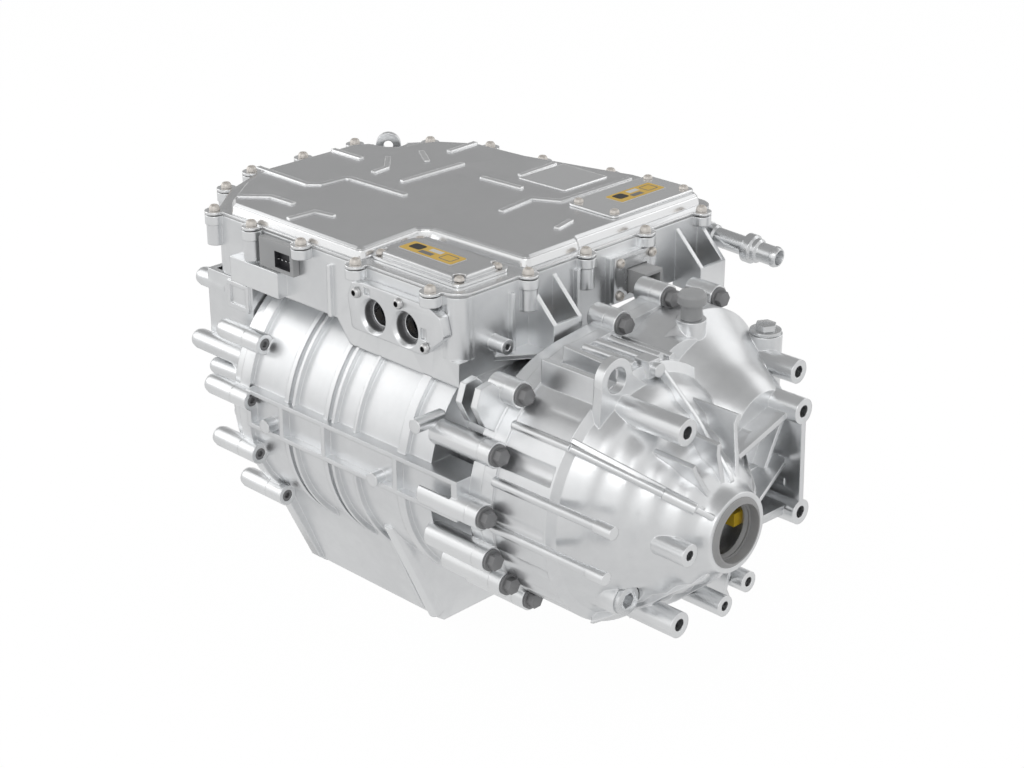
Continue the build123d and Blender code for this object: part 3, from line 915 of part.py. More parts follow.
with BuildPart() as oil_guide:
    rods(SEAL_X - 23, SEAL_X - 14, SEAL_SHOULDER_R - SEAT_GAP, [(0, 0)])
    block((SEAL_X - 24, SEAL_X - 13), (OUTPUT_BORE_R + 0.6, 26), (-6, 5), Mode.INTERSECT)
save(oil_guide, "oil_guide")

# Resolver behind the rotor
RESOLVER_X = (ROTOR_REAR_BEARING_X + ROTOR_BEARING[2] + 0.3, ROTOR_REAR_BEARING_X + ROTOR_BEARING[2] + 9.0)
with BuildPart() as resolver_rotor:
    tube(RESOLVER_X[0] + 0.5, RESOLVER_X[1], 31, JOURNAL_R + 3 + SEAT_GAP)
save(resolver_rotor, "resolver_rotor")

with BuildPart() as resolver_stator:
    tube(RESOLVER_X[0], RESOLVER_X[1], 46, 31.6)
save(resolver_stator, "resolver_stator")

# Inverter cover: sheet with screw lobes and a raised plateau, stepped down round the service opening
SHEET_Z = INV_TOP_Z + GASKET
FLANGE_Z = SHEET_Z + COVER_SHEET
PLATEAU_Z = FLANGE_Z + COVER_RISE
BEAD_H = 1.6
BEAD_W = 5.0
PLATEAU = [(-479, -82), (-320, -82), (-324, -15), (-317, -8), (-214, -4), (-214, 54), (-218, 58), (-218, 212),
           (-292, 212), (-330, 202), (-398, 186), (-457, 182), (-487, 161), (-494, 146), (-496, 129), (-508, 117),
           (-526, 113), (-534, 100), (-534, 0), (-519, -36), (-490, -74)]
BEADS = [
    [(-490, -69), (-468, -50), (-440, -49)], [(-414, -77), (-412, -50), (-392, -46)],
    [(-540, -6), (-472, -7), (-464, 1), (-462, 26), (-458, 30), (-390, 32)], [(-533, 75), (-494, 75)],
    [(-480, 94), (-459, 73), (-457, 55)], [(-472, 127), (-446, 110)], [(-456, 180), (-454, 144)],
    [(-420, 55), (-419, 128)], [(-379, 111), (-333, 114)], [(-359, 138), (-361, 185)],
    [(-303, 58), (-308, 100), (-286, 112), (-285, 199)], [(-241, 59), (-246, 82)],
]
with BuildPart() as inverter_cover:
    inverter_slab(SHEET_Z, FLANGE_Z, boss_r=SCREW_BOSS_R)
    with BuildSketch(Plane.XY.offset(FLANGE_Z)) as plateau:
        with BuildLine():
            Polyline(*PLATEAU, close=True)
        make_face()
        fillet(plateau.vertices(), 5)
    extrude(amount=COVER_RISE)
    chamfer(inverter_cover.faces().sort_by(Axis.Z)[-1].outer_wire().edges(), 2.4)
    with BuildSketch(Plane.XY.offset(PLATEAU_Z - 0.2)) as beads:
        for bead in BEADS:
            with BuildLine():
                Polyline(*bead)
            trace(line_width=BEAD_W)
    extrude(amount=BEAD_H + 0.2)
    plan_slab(PLATEAU_Z - 0.2, PLATEAU_Z + 1.2, [(-354, 132), (-302, 134), (-302, 188), (-354, 188)])
    with BuildSketch(Plane.XY.offset(SHEET_Z - 1)) as inside:
        with BuildLine():
            Polyline(*PLATEAU, close=True)
        make_face()
        offset(amount=-COVER_SHEET - 1.0, mode=Mode.REPLACE)
    extrude(amount=PLATEAU_Z - COVER_SHEET - SHEET_Z + 1, mode=Mode.SUBTRACT)
    posts(SHEET_Z - 1, FLANGE_Z + 1, M5_R + 0.3, COVER_SCREWS, Mode.SUBTRACT)
save(inverter_cover, "inverter_cover")

with BuildPart() as cover_gasket:
    inverter_slab(INV_TOP_Z + SEAT_GAP, SHEET_Z - SEAT_GAP)
    inverter_slab(INV_TOP_Z - 1, SHEET_Z + 1, inset=INV_WALL + 4, mode=Mode.SUBTRACT)
    posts(INV_TOP_Z - 1, SHEET_Z + 1, M5_R + 0.5, COVER_SCREWS, Mode.SUBTRACT)
save(cover_gasket, "cover_gasket")

with BuildPart() as cover_screws:
    posts(INV_TOP_Z - 7, FLANGE_Z + 1, M5_R, COVER_SCREWS)
    for x, y in COVER_SCREWS:
        pan_head(M5_HEAD_R, M5_HEAD, (x, y, FLANGE_Z + SEAT_GAP), (0, 0, 1))
save(cover_screws, "cover_screws")

# Two service covers on the lid
FRONT_LID = ((-318.5, -218.0), (-74.0, -17.0))
FRONT_LID_SCREWS = [(-312.5, -67), (-312.5, -25), (-225, -25), (-225, -66)]
BACK_LID = ((-277.0, -223.0), (109.0, 213.0))
BACK_LID_SCREWS = [(-270, 117), (-230, 117), (-230, 205), (-270, 205)]
FRONT_LID_SEAT_Z = FLANGE_Z + 3.4
BACK_LID_Z = PLATEAU_Z + 2.4 + SEAT_GAP
with BuildPart() as service_cover_front:
    with BuildSketch(Plane.XY.offset(FLANGE_Z + SEAT_GAP)) as foot:
        with Locations((sum(FRONT_LID[0]) / 2, sum(FRONT_LID[1]) / 2)):
            RectangleRounded(FRONT_LID[0][1] - FRONT_LID[0][0], FRONT_LID[1][1] - FRONT_LID[1][0], 6)
    extrude(amount=2.6)
    with BuildSketch(Plane.XY.offset(FLANGE_Z + 2)) as crown:
        with Locations((sum(FRONT_LID[0]) / 2, sum(FRONT_LID[1]) / 2)):
            RectangleRounded(FRONT_LID[0][1] - FRONT_LID[0][0] - 8, FRONT_LID[1][1] - FRONT_LID[1][0] - 8, 8)
    extrude(amount=5)
    chamfer(service_cover_front.faces().sort_by(Axis.Z)[-1].outer_wire().edges(), 1.2)
    posts(FRONT_LID_SEAT_Z, FLANGE_Z + 8, M4_HEAD_R + 1.4, FRONT_LID_SCREWS, Mode.SUBTRACT)
    posts(FLANGE_Z - 1, FLANGE_Z + 8, M4_R + 0.2, FRONT_LID_SCREWS, Mode.SUBTRACT)
save(service_cover_front, "service_cover_front")

with BuildPart() as service_cover_rear:
    with BuildSketch(Plane.XY.offset(PLATEAU_Z + SEAT_GAP)) as foot:
        with Locations((sum(BACK_LID[0]) / 2, sum(BACK_LID[1]) / 2)):
            RectangleRounded(BACK_LID[0][1] - BACK_LID[0][0], BACK_LID[1][1] - BACK_LID[1][0], 6)
    extrude(amount=2.4)
    chamfer(service_cover_rear.faces().sort_by(Axis.Z)[-1].outer_wire().edges(), 0.8)
    posts(PLATEAU_Z - 1, PLATEAU_Z + 4, M4_R + 0.2, BACK_LID_SCREWS, Mode.SUBTRACT)
save(service_cover_rear, "service_cover_rear")

# Bolts of the two big joints, bracket screws and dowels
JOINT_HEAD_X = JOINT_X + JOINT_FLANGE + SEAT_GAP
with BuildPart() as joint_bolts:
    rods(JOINT_X - 15, JOINT_HEAD_X + 1, M8_R, JOINT_BOLTS)
    rods(JOINT_HEAD_X, JOINT_HEAD_X + 1.8, M8_FLANGE_R, JOINT_BOLTS)
    hex_head(JOINT_HEAD_X, JOINT_BOLTS, M8_HEX_R, 7.2, 1)
save(joint_bolts, "joint_bolts")

with BuildPart() as rear_cover_bolts:
    rods(REAR_BOLT_END_X, REAR_HEAD_X[0] + 1, REAR_BOLT_R, REAR_BOLTS)
    rods(REAR_HEAD_X[0] + SEAT_GAP, REAR_HEAD_X[1] - 0.3, REAR_HEAD_R, REAR_BOLTS)
    with BuildSketch(Plane.YZ.offset(REAR_HEAD_X[1] - 3.3)) as sockets:
        with Locations(*REAR_BOLTS):
            RegularPolygon(2.9, 6)
    extrude(amount=4, mode=Mode.SUBTRACT)
save(rear_cover_bolts, "rear_cover_bolts")

BRACKET_SCREWS = [(-191, y) for y in BRACKETS]
with BuildPart() as bracket_screws:
    posts(SHELF_Z - 9, SHELF_Z + 1, 3.0, BRACKET_SCREWS)
    posts(SHELF_Z + SEAT_GAP, SHELF_Z + 1.6, 7.0, BRACKET_SCREWS)
    with BuildSketch(Plane.XY.offset(SHELF_Z + SEAT_GAP)) as hexes:
        with Locations(*BRACKET_SCREWS):
            RegularPolygon(5.8, 6)
    extrude(amount=6)
save(bracket_screws, "bracket_screws")

with BuildPart() as bridge_screws:
    rods(BRIDGE_X[1] - 8 - SEAT_GAP, CASE_SHOULDER_X + 11, 3.0, BRIDGE_SCREWS)
    rods(BRIDGE_X[1] - 12, BRIDGE_X[1] - 8 - SEAT_GAP, 4.6, BRIDGE_SCREWS)
save(bridge_screws, "bridge_screws")

with BuildPart() as dowel_pins:
    rods(JOINT_X - 7.5, JOINT_X + 7.5, DOWEL_R, DOWELS)
save(dowel_pins, "dowel_pins")

# Gearbox plugs and breather
with BuildPart() as fill_plug:
    rods(FILL_PLUG_X - 12, FILL_PLUG_X + 1, PLUG_R - 2, [FILL_PLUG])
    rods(FILL_PLUG_X + SEAT_GAP, FILL_PLUG_X + 4, PLUG_R + 1, [FILL_PLUG])
    with BuildSketch(Plane.YZ.offset(FILL_PLUG_X - 4)) as socket:
        with Locations(FILL_PLUG):
            RegularPolygon(6.5, 6)
    extrude(amount=9, mode=Mode.SUBTRACT)
save(fill_plug, "fill_plug")

with BuildPart() as level_plug:
    posts(LEVEL_PLUG_Z - 12, LEVEL_PLUG_Z + 1, PLUG_R - 2, [LEVEL_PLUG])
    posts(LEVEL_PLUG_Z + SEAT_GAP, LEVEL_PLUG_Z + 3.2, PLUG_R + 2, [LEVEL_PLUG])
    with BuildSketch(Plane.XY.offset(LEVEL_PLUG_Z + SEAT_GAP)) as hexagon:
        with Locations(LEVEL_PLUG):
            RegularPolygon(9, 6)
    extrude(amount=8)
save(level_plug, "level_plug")

with BuildPart() as breather_cap:
    spin([(-14, 0), (-14, 5), (SEAT_GAP, 5), (SEAT_GAP, 8.5), (13, 8.5), (13, 11.5), (19.5, 11.5), (22.5, 9.5),
          (22.5, 0)],
         (BREATHER[0], BREATHER[1], BREATHER_Z), (0, 0, 1))
save(breather_cap, "breather_cap")

# High-voltage ports on the front wall
PORT_PLATE_Y = INV_FRONT_Y - 9.0
PORT_BORE_R = 12.5
PORT_MOUTH_R = 15.2
PORT_PIN_R = 4.5
PORT_FLOOR_Y = INV_FRONT_Y + 11.0

PORTS = [(x, PORT_Z) for x in PORT_X]
with BuildPart() as hv_port_block:
    with BuildSketch(Plane(origin=(0, PORT_PLATE_Y, 0), x_dir=(1, 0, 0), z_dir=(0, -1, 0))) as plate:
        with BuildLine():
            Polyline((-322, 128), (-317, 141), (-304, 143.5), (-231, 143.8), (-217, 138), (-213, 122), (-236, 102),
                     (-318, 102), close=True)
        make_face()
        fillet(plate.vertices(), 4)
    extrude(plate.sketch, amount=PORT_PLATE_Y - INV_FRONT_Y + SEAT_GAP)
    front_rods(INV_FRONT_Y - 1, INV_FRONT_Y + 14, PORT_R + 3.7, PORTS)
    front_rods(PORT_PLATE_Y - 1, PORT_FLOOR_Y, PORT_BORE_R, PORTS, Mode.SUBTRACT)
    for x, z in PORTS:
        spin([(-1, 0), (-1, PORT_MOUTH_R + 0.9), (3, PORT_BORE_R), (3, 0)], (x, PORT_PLATE_Y, z), (0, 1, 0),
             Mode.SUBTRACT)
    block((-303, -296), (PORT_PLATE_Y - 1, PORT_PLATE_Y + 3), (134.5, 140), Mode.SUBTRACT)
    block((-239, -232), (PORT_PLATE_Y - 1, PORT_PLATE_Y + 3), (115, 124), Mode.SUBTRACT)
    front_rods(PORT_FLOOR_Y - 1, PORT_FLOOR_Y + 4, PORT_PIN_R + SEAT_GAP, PORTS, Mode.SUBTRACT)
    front_rods(PORT_PLATE_Y - 1, INV_FRONT_Y + 1, M5_R + 0.2, PLATE_SCREWS, Mode.SUBTRACT)
save(hv_port_block, "hv_port_block")

with BuildPart() as hv_terminals:
    front_rods(PORT_FLOOR_Y + 0.3, INV_FRONT_Y + 24, PORT_PIN_R, PORTS)
    for x in PORT_X:
        block((x - 9, x + 9), (INV_FRONT_Y + 15, INV_FRONT_Y + 24), (PORT_Z - 9, PORT_Z + 5))
save(hv_terminals, "hv_terminals")

with BuildPart() as port_screws:
    front_rods(PORT_PLATE_Y - 1, INV_FRONT_Y + 2, M5_R - 0.1, PLATE_SCREWS)
    for x, z in PLATE_SCREWS:
        pan_head(M5_HEAD_R, 3.6, (x, PORT_PLATE_Y - SEAT_GAP, z), (0, -1, 0))
save(port_screws, "port_screws")

# Low-voltage plug recessed in the front wall
with BuildPart() as lv_connector:
    block((-434, -391), (INV_FRONT_Y - 7, INV_FRONT_Y - SEAT_GAP), (124 + SEAT_GAP, 150))
    block((-430, -395), (INV_FRONT_Y - 8, INV_FRONT_Y - 3), (128, 146), Mode.SUBTRACT)
    block((-426, -399), (INV_FRONT_Y - 6, INV_FRONT_Y - 2), (132, 142))
save(lv_connector, "lv_connector")

# Signal connector on the right wall
PAD_X = INV_RIGHT_X + 5.0
PLATE_X = PAD_X + 3.0
CONNECTOR_SCREWS = [(89, 138.5), (128, 138.5), (89, 110), (128, 110)]
with BuildPart() as connector_plate:
    block((PAD_X + SEAT_GAP, PLATE_X), (82, 134), (105, 143.5))
    block((PAD_X, PLATE_X + 1), (98, 122), (110, 132), Mode.SUBTRACT)
    rods(PAD_X, PLATE_X + 1, M4_R + 0.2, CONNECTOR_SCREWS, Mode.SUBTRACT)
save(connector_plate, "connector_plate")

with BuildPart() as signal_connector:
    block((PAD_X + SEAT_GAP, -180), (99, 121), (111, 131))
    block((-194, -179), (102, 118), (114, 128), Mode.SUBTRACT)
    block((-195, -184), (105, 115), (119, 123))
save(signal_connector, "signal_connector")

with BuildPart() as m4_screws:
    rods(PAD_X + SEAT_GAP, PLATE_X + 1, M4_R, CONNECTOR_SCREWS)
    for y, z in CONNECTOR_SCREWS:
        pan_head(M4_HEAD_R, M4_HEAD, (PLATE_X + SEAT_GAP, y, z), (1, 0, 0))
    posts(FLANGE_Z + SEAT_GAP, FRONT_LID_SEAT_Z + 1, M4_R, FRONT_LID_SCREWS)
    for x, y in FRONT_LID_SCREWS:
        pan_head(M4_HEAD_R, M4_HEAD, (x, y, FRONT_LID_SEAT_Z + SEAT_GAP), (0, 0, 1))
    posts(PLATEAU_Z + SEAT_GAP, BACK_LID_Z + 1, M4_R, BACK_LID_SCREWS)
    for x, y in BACK_LID_SCREWS:
        pan_head(M4_HEAD_R, M4_HEAD, (x, y, BACK_LID_Z + SEAT_GAP), (0, 0, 1))
save(m4_screws, "m4_screws")

# Coolant spigots: in at the inverter's right wall, out at the back of the motor barrel
with BuildPart() as coolant_inlet:
    spin([(INLET_SEAT, SPIGOT_BORE_R), (INLET_SEAT, 9.8), (8, 9.8), (10, SPIGOT_R), (40, SPIGOT_R), (40, 12.5),
          (47, 12.5), (49, 10.5), (52, 10.5), (54, SPIGOT_R), (66, SPIGOT_R), (67, 9), (69, 9), (72, 7.6),
          (72, SPIGOT_BORE_R)], INLET, INLET_WAY)
save(coolant_inlet, "coolant_inlet")

with BuildPart() as coolant_outlet:
    spin([(0, SPIGOT_BORE_R), (0, 12.5), (5, 12.5), (7, SPIGOT_R), (32, SPIGOT_R), (34, 7.4), (34, SPIGOT_BORE_R)],
         (OUTLET[0], OUTLET[1] + 9, OUTLET[2]), (0, 1, 0))
save(coolant_outlet, "coolant_outlet")

# Electronics inside the inverter
MODULE_Z = (INV_FLOOR_Z + SEAT_GAP, INV_FLOOR_Z + 11.0)
with BuildPart() as power_module:
    for x in (-436, -368, -300):
        block((x, x + 60), (-36, 54), MODULE_Z)
        block((x + 6, x + 54), (-28, 46), (MODULE_Z[1] - 1, MODULE_Z[1] + 3))
save(power_module, "power_module")

with BuildPart() as dc_link_capacitor:
    plan_slab(BACK_BAY_Z + SEAT_GAP, BOARD_Z - 6, [(-228, 118), (-228, 202), (-325, 198), (-395, 182), (-436, 180),
                                                  (-436, 118)])
save(dc_link_capacitor, "dc_link_capacitor")

with BuildPart() as control_board:
    block((-474, -221), (-52, 107), (BOARD_Z, BOARD_Z + 1.6))
    block((-420, -384), (-10, 26), (BOARD_Z + 1, BOARD_Z + 5))
    block((-350, -332), (-40, 6), (BOARD_Z + 1, BOARD_Z + 6))
    block((-300, -270), (40, 64), (BOARD_Z + 1, BOARD_Z + 4))
save(control_board, "control_board")

# Phase bars: from the power module down through the slot to the winding
BAR_X = -495.0
BAR_Z = (80.0, 83.0)
with BuildPart() as phase_busbars:
    for y in (-30, -4, 22):
        side_slab(y - 5, y + 5, [(-436 - SEAT_GAP, 125), (BAR_X + 3, 125), (BAR_X + 3, BAR_Z[1]),
                                 (STATOR_X[0] - CROWN_LENGTH - SEAT_GAP, BAR_Z[1]),
                                 (STATOR_X[0] - CROWN_LENGTH - SEAT_GAP, BAR_Z[0]), (BAR_X, BAR_Z[0]),
                                 (BAR_X, 128), (-436 - SEAT_GAP, 128)])
save(phase_busbars, "phase_busbars")
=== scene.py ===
import json
import math

import bmesh
import bpy
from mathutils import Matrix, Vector


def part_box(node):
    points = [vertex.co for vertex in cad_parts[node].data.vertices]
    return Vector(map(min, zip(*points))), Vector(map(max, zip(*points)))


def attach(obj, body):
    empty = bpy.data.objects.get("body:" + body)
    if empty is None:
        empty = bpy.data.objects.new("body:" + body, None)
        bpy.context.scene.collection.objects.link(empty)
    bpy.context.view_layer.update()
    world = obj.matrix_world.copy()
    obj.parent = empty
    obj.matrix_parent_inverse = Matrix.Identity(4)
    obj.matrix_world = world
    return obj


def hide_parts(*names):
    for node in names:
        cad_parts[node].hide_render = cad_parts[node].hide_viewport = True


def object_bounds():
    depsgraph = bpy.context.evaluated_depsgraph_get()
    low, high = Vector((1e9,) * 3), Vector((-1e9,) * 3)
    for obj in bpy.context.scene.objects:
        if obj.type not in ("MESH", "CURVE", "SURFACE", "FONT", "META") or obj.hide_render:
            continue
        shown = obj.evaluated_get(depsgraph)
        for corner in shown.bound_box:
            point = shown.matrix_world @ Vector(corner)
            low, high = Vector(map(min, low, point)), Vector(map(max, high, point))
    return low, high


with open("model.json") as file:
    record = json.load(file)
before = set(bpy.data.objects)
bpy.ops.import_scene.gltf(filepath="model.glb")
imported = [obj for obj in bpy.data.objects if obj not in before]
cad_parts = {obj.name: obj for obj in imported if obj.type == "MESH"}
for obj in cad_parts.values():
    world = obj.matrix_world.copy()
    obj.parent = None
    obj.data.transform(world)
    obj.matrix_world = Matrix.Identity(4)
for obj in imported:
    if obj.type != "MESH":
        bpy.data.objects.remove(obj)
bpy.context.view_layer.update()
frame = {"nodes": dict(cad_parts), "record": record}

scene = bpy.context.scene
MM = 0.001


def linked(name, data):
    """A new object of this mesh, camera or lamp, linked to the scene."""
    made = bpy.data.objects.new(name, data)
    scene.collection.objects.link(made)
    return made


# Camera: the photograph's own place, measured from the part's edges

CAMERA_PLACE = Vector((807.2, -1064.2, 701.6)) * MM
CAMERA_AZIMUTH = math.radians(44.358)
CAMERA_PITCH = math.radians(23.668)
CAMERA_LENS = 70.74
SENSOR_WIDTH = 36.0
NEAREST_SEEN = 0.05
FARTHEST_SEEN = 60.0


def place_camera():
    """A plain camera with no shift and no depth of field, at the photograph's viewing angle."""
    level = math.cos(CAMERA_PITCH)
    looks = Vector((-math.sin(CAMERA_AZIMUTH) * level, math.cos(CAMERA_AZIMUTH) * level,
                    -math.sin(CAMERA_PITCH)))
    data = bpy.data.cameras.new("photo_camera")
    data.lens = CAMERA_LENS
    data.sensor_width = SENSOR_WIDTH
    data.clip_start = NEAREST_SEEN
    data.clip_end = FARTHEST_SEEN
    camera = linked("photo_camera", data)
    camera.location = CAMERA_PLACE
    camera.rotation_euler = looks.to_track_quat("-Z", "Y").to_euler()
    scene.camera = camera


# Shader helpers

def group_of(name, inputs, outputs):
    """An empty shader node group with these named sockets, and its two end nodes."""
    tree = bpy.data.node_groups.new(name, "ShaderNodeTree")
    kinds = {"float": "NodeSocketFloat", "color": "NodeSocketColor"}
    for socket, kind, value in inputs:
        made = tree.interface.new_socket(name=socket, in_out="INPUT", socket_type=kinds[kind])
        made.default_value = value
    for socket, kind in outputs:
        tree.interface.new_socket(name=socket, in_out="OUTPUT", socket_type=kinds[kind])
    return tree, tree.nodes.new("NodeGroupInput"), tree.nodes.new("NodeGroupOutput")


def feed(tree, side, socket):
    """Gives a node's input a number, or links it to another node's output."""
    if isinstance(side, (int, float)):
        socket.default_value = side
    else:
        tree.links.new(side, socket)


def noise(tree, place, scale, detail, roughness=0.55):
    """A noise texture read at place. scale may be a number or a socket."""
    node = tree.nodes.new("ShaderNodeTexNoise")
    node.inputs["Detail"].default_value = detail
    node.inputs["Roughness"].default_value = roughness
    tree.links.new(place, node.inputs["Vector"])
    feed(tree, scale, node.inputs["Scale"])
    return node.outputs["Fac"]


def ramp(tree, value, low, high, start=0.0, end=1.0):
    """value mapped smoothly from low..high to start..end, and held outside."""
    node = tree.nodes.new("ShaderNodeMapRange")
    node.interpolation_type = "SMOOTHSTEP"
    node.inputs["From Min"].default_value = low
    node.inputs["From Max"].default_value = high
    node.inputs["To Min"].default_value = start
    node.inputs["To Max"].default_value = end
    tree.links.new(value, node.inputs["Value"])
    return node.outputs["Result"]


def sums(tree, operation, first, second):
    """A Math node. Each side is a socket or a number."""
    node = tree.nodes.new("ShaderNodeMath")
    node.operation = operation
    for socket, side in zip(node.inputs, (first, second)):
        feed(tree, side, socket)
    return node.outputs[0]


def swing(tree, value, width):
    """How far a noise value lies from its middle, times width."""
    return sums(tree, "MULTIPLY", sums(tree, "SUBTRACT", value, 0.5), width)


def blend_colour(tree, share, first, second):
    """The two colours mixed by share. Each is a socket or an RGB triple."""
    node = tree.nodes.new("ShaderNodeMix")
    node.data_type = "RGBA"
    tree.links.new(share, node.inputs[0])
    for socket, side in zip((node.inputs[6], node.inputs[7]), (first, second)):
        if isinstance(side, tuple):
            socket.default_value = (*side, 1.0)
        else:
            tree.links.new(side, socket)
    return node.outputs[2]


def object_place(tree):
    """The point being shaded, in its object's own coordinates."""
    return tree.nodes.new("ShaderNodeTexCoord").outputs["Object"]


def edge_wear_and_highlight(tree, low, high):
    """How strongly an outer edge shows at this point, from 0 to 1."""
    shape = tree.nodes.new("ShaderNodeNewGeometry")
    return ramp(tree, shape.outputs["Pointiness"], low, high)


# Three shared finishes: cast, fine and turned

SLOW_DETAIL = 3.0
GRAIN_DETAIL = 2.0

CAST_DRIFT_SCALE = 14.0
CAST_MOTTLE_SCALE = 90.0
CAST_GRAIN_ROUGHNESS = 0.7
CAST_DRIFT_SHARE = 0.6
CAST_MOTTLE_SHARE = 0.4
CAST_TONE_RANGE = (0.3, 0.7)
CAST_EDGE_RANGE = (0.53, 0.62)
CAST_ROUGHNESS_SPREAD = 0.05
CAST_EDGE_POLISH = 0.08
CAST_MOTTLE_HEIGHT = 0.6

FINE_DRIFT_SCALE = 60.0
FINE_SPECKLE_ROUGHNESS = 0.6
FINE_EDGE_RANGE = (0.51, 0.6)
FINE_PATCH_RANGE = (0.5, 0.75)
FINE_PATCH_WEAR = 0.6
FINE_ROUGHNESS_SPREAD = 0.3

TURNED_DRIFT_SCALE = 45.0
TURNED_RING_SHARE = 0.12
TURNED_TONE_RANGE = (0.35, 0.7)
TURNED_ROUGHNESS_SPREAD = 0.25
FULL_TURN = 6.2832


def make_cast_skin():
    """As-cast skin: a fine sandy grain, slow tone drift, and edges lighter, partly as rubbed wear and partly
    as a painted highlight.
    """
    tree, given, result = group_of(
        "cast_skin",
        [("Colour", "color", (0.8, 0.8, 0.8, 1.0)), ("Shade", "color", (0.6, 0.6, 0.6, 1.0)),
         ("Edge", "color", (0.9, 0.9, 0.9, 1.0)), ("Edge Share", "float", 0.6),
         ("Grain Scale", "float", 900.0), ("Roughness", "float", 0.4)],
        [("Colour", "color"), ("Roughness", "float"), ("Height", "float")])
    place = object_place(tree)
    drift = noise(tree, place, CAST_DRIFT_SCALE, SLOW_DETAIL)
    mottle = noise(tree, place, CAST_MOTTLE_SCALE, SLOW_DETAIL)
    grain = noise(tree, place, given.outputs["Grain Scale"], GRAIN_DETAIL, CAST_GRAIN_ROUGHNESS)
    tone = sums(tree, "ADD", sums(tree, "MULTIPLY", drift, CAST_DRIFT_SHARE),
                sums(tree, "MULTIPLY", mottle, CAST_MOTTLE_SHARE))
    base = blend_colour(tree, ramp(tree, tone, *CAST_TONE_RANGE), given.outputs["Shade"],
                        given.outputs["Colour"])
    # Lighter edges: partly rubbed wear, partly a painted highlight where edges catch the light
    worn_and_lit = sums(tree, "MULTIPLY", edge_wear_and_highlight(tree, *CAST_EDGE_RANGE), given.outputs["Edge Share"])
    tree.links.new(blend_colour(tree, worn_and_lit, base, given.outputs["Edge"]), result.inputs["Colour"])
    spread = swing(tree, mottle, CAST_ROUGHNESS_SPREAD)
    rough = sums(tree, "ADD", given.outputs["Roughness"], spread)
    polish = sums(tree, "MULTIPLY", worn_and_lit, CAST_EDGE_POLISH)
    tree.links.new(sums(tree, "SUBTRACT", rough, polish), result.inputs["Roughness"])
    height = sums(tree, "ADD", grain, sums(tree, "MULTIPLY", mottle, CAST_MOTTLE_HEIGHT))
    tree.links.new(height, result.inputs["Height"])
    return tree


def make_fine_finish():
    """A moulded, plated or painted surface: faint speckle, soft wear and a light orange peel."""
    tree, given, result = group_of(
        "fine_finish",
        [("Colour", "color", (0.5, 0.5, 0.5, 1.0)), ("Worn", "color", (0.6, 0.6, 0.6, 1.0)),
         ("Wear", "float", 0.3), ("Speckle Scale", "float", 1200.0), ("Roughness", "float", 0.4)],
        [("Colour", "color"), ("Roughness", "float"), ("Height", "float")])
    place = object_place(tree)
    drift = noise(tree, place, FINE_DRIFT_SCALE, SLOW_DETAIL)
    speckle = noise(tree, place, given.outputs["Speckle Scale"], GRAIN_DETAIL, FINE_SPECKLE_ROUGHNESS)
    rubbed = edge_wear_and_highlight(tree, *FINE_EDGE_RANGE)
    patches = ramp(tree, drift, *FINE_PATCH_RANGE, 0.0, FINE_PATCH_WEAR)
    share = sums(tree, "MULTIPLY", sums(tree, "MAXIMUM", rubbed, patches), given.outputs["Wear"])
    colour = blend_colour(tree, share, given.outputs["Colour"], given.outputs["Worn"])
    tree.links.new(colour, result.inputs["Colour"])
    spread = swing(tree, drift, FINE_ROUGHNESS_SPREAD)
    tree.links.new(sums(tree, "ADD", given.outputs["Roughness"], spread), result.inputs["Roughness"])
    tree.links.new(speckle, result.inputs["Height"])
    return tree


def make_turned_finish():
    """Turning marks: fine rings round the X axis, over a slight tone drift."""
    tree, given, result = group_of(
        "turned_finish",
        [("Colour", "color", (0.6, 0.6, 0.6, 1.0)), ("Shade", "color", (0.5, 0.5, 0.5, 1.0)),
         ("Ring Scale", "float", 700.0), ("Roughness", "float", 0.3)],
        [("Colour", "color"), ("Roughness", "float"), ("Height", "float")])
    place = object_place(tree)
    split = tree.nodes.new("ShaderNodeSeparateXYZ")
    tree.links.new(place, split.inputs[0])
    around = tree.nodes.new("ShaderNodeVectorMath")
    around.operation = "LENGTH"
    flat = tree.nodes.new("ShaderNodeCombineXYZ")
    tree.links.new(split.outputs["Y"], flat.inputs["Y"])
    tree.links.new(split.outputs["Z"], flat.inputs["Z"])
    tree.links.new(flat.outputs[0], around.inputs[0])
    along = sums(tree, "ADD", split.outputs["X"], around.outputs["Value"])
    rings = sums(tree, "MULTIPLY", along, given.outputs["Ring Scale"])
    turns = sums(tree, "SINE", sums(tree, "MULTIPLY", rings, FULL_TURN), 0.0)
    drift = noise(tree, place, TURNED_DRIFT_SCALE, SLOW_DETAIL)
    tone = sums(tree, "ADD", sums(tree, "MULTIPLY", turns, TURNED_RING_SHARE), drift)
    colour = blend_colour(tree, ramp(tree, tone, *TURNED_TONE_RANGE), given.outputs["Shade"],
                          given.outputs["Colour"])
    tree.links.new(colour, result.inputs["Colour"])
    spread = swing(tree, drift, TURNED_ROUGHNESS_SPREAD)
    tree.links.new(sums(tree, "ADD", given.outputs["Roughness"], spread), result.inputs["Roughness"])
    tree.links.new(turns, result.inputs["Height"])
    return tree


GROUPS = {"cast": make_cast_skin(), "fine": make_fine_finish(), "turned": make_turned_finish()}


# Materials, each fed by one of the shared finishes

BUMP_DISTANCE = 0.0004
ROUNDING_SAMPLES = 8
CAST_EDGE_R = 1.4 * MM
COVER_EDGE_R = 1.6 * MM
# Edge is the lighter edge colour: partly wear, partly a painted highlight
CAST_COLOURS = {"Colour": (0.84, 0.85, 0.858), "Shade": (0.77, 0.78, 0.79), "Edge": (0.93, 0.94, 0.945)}


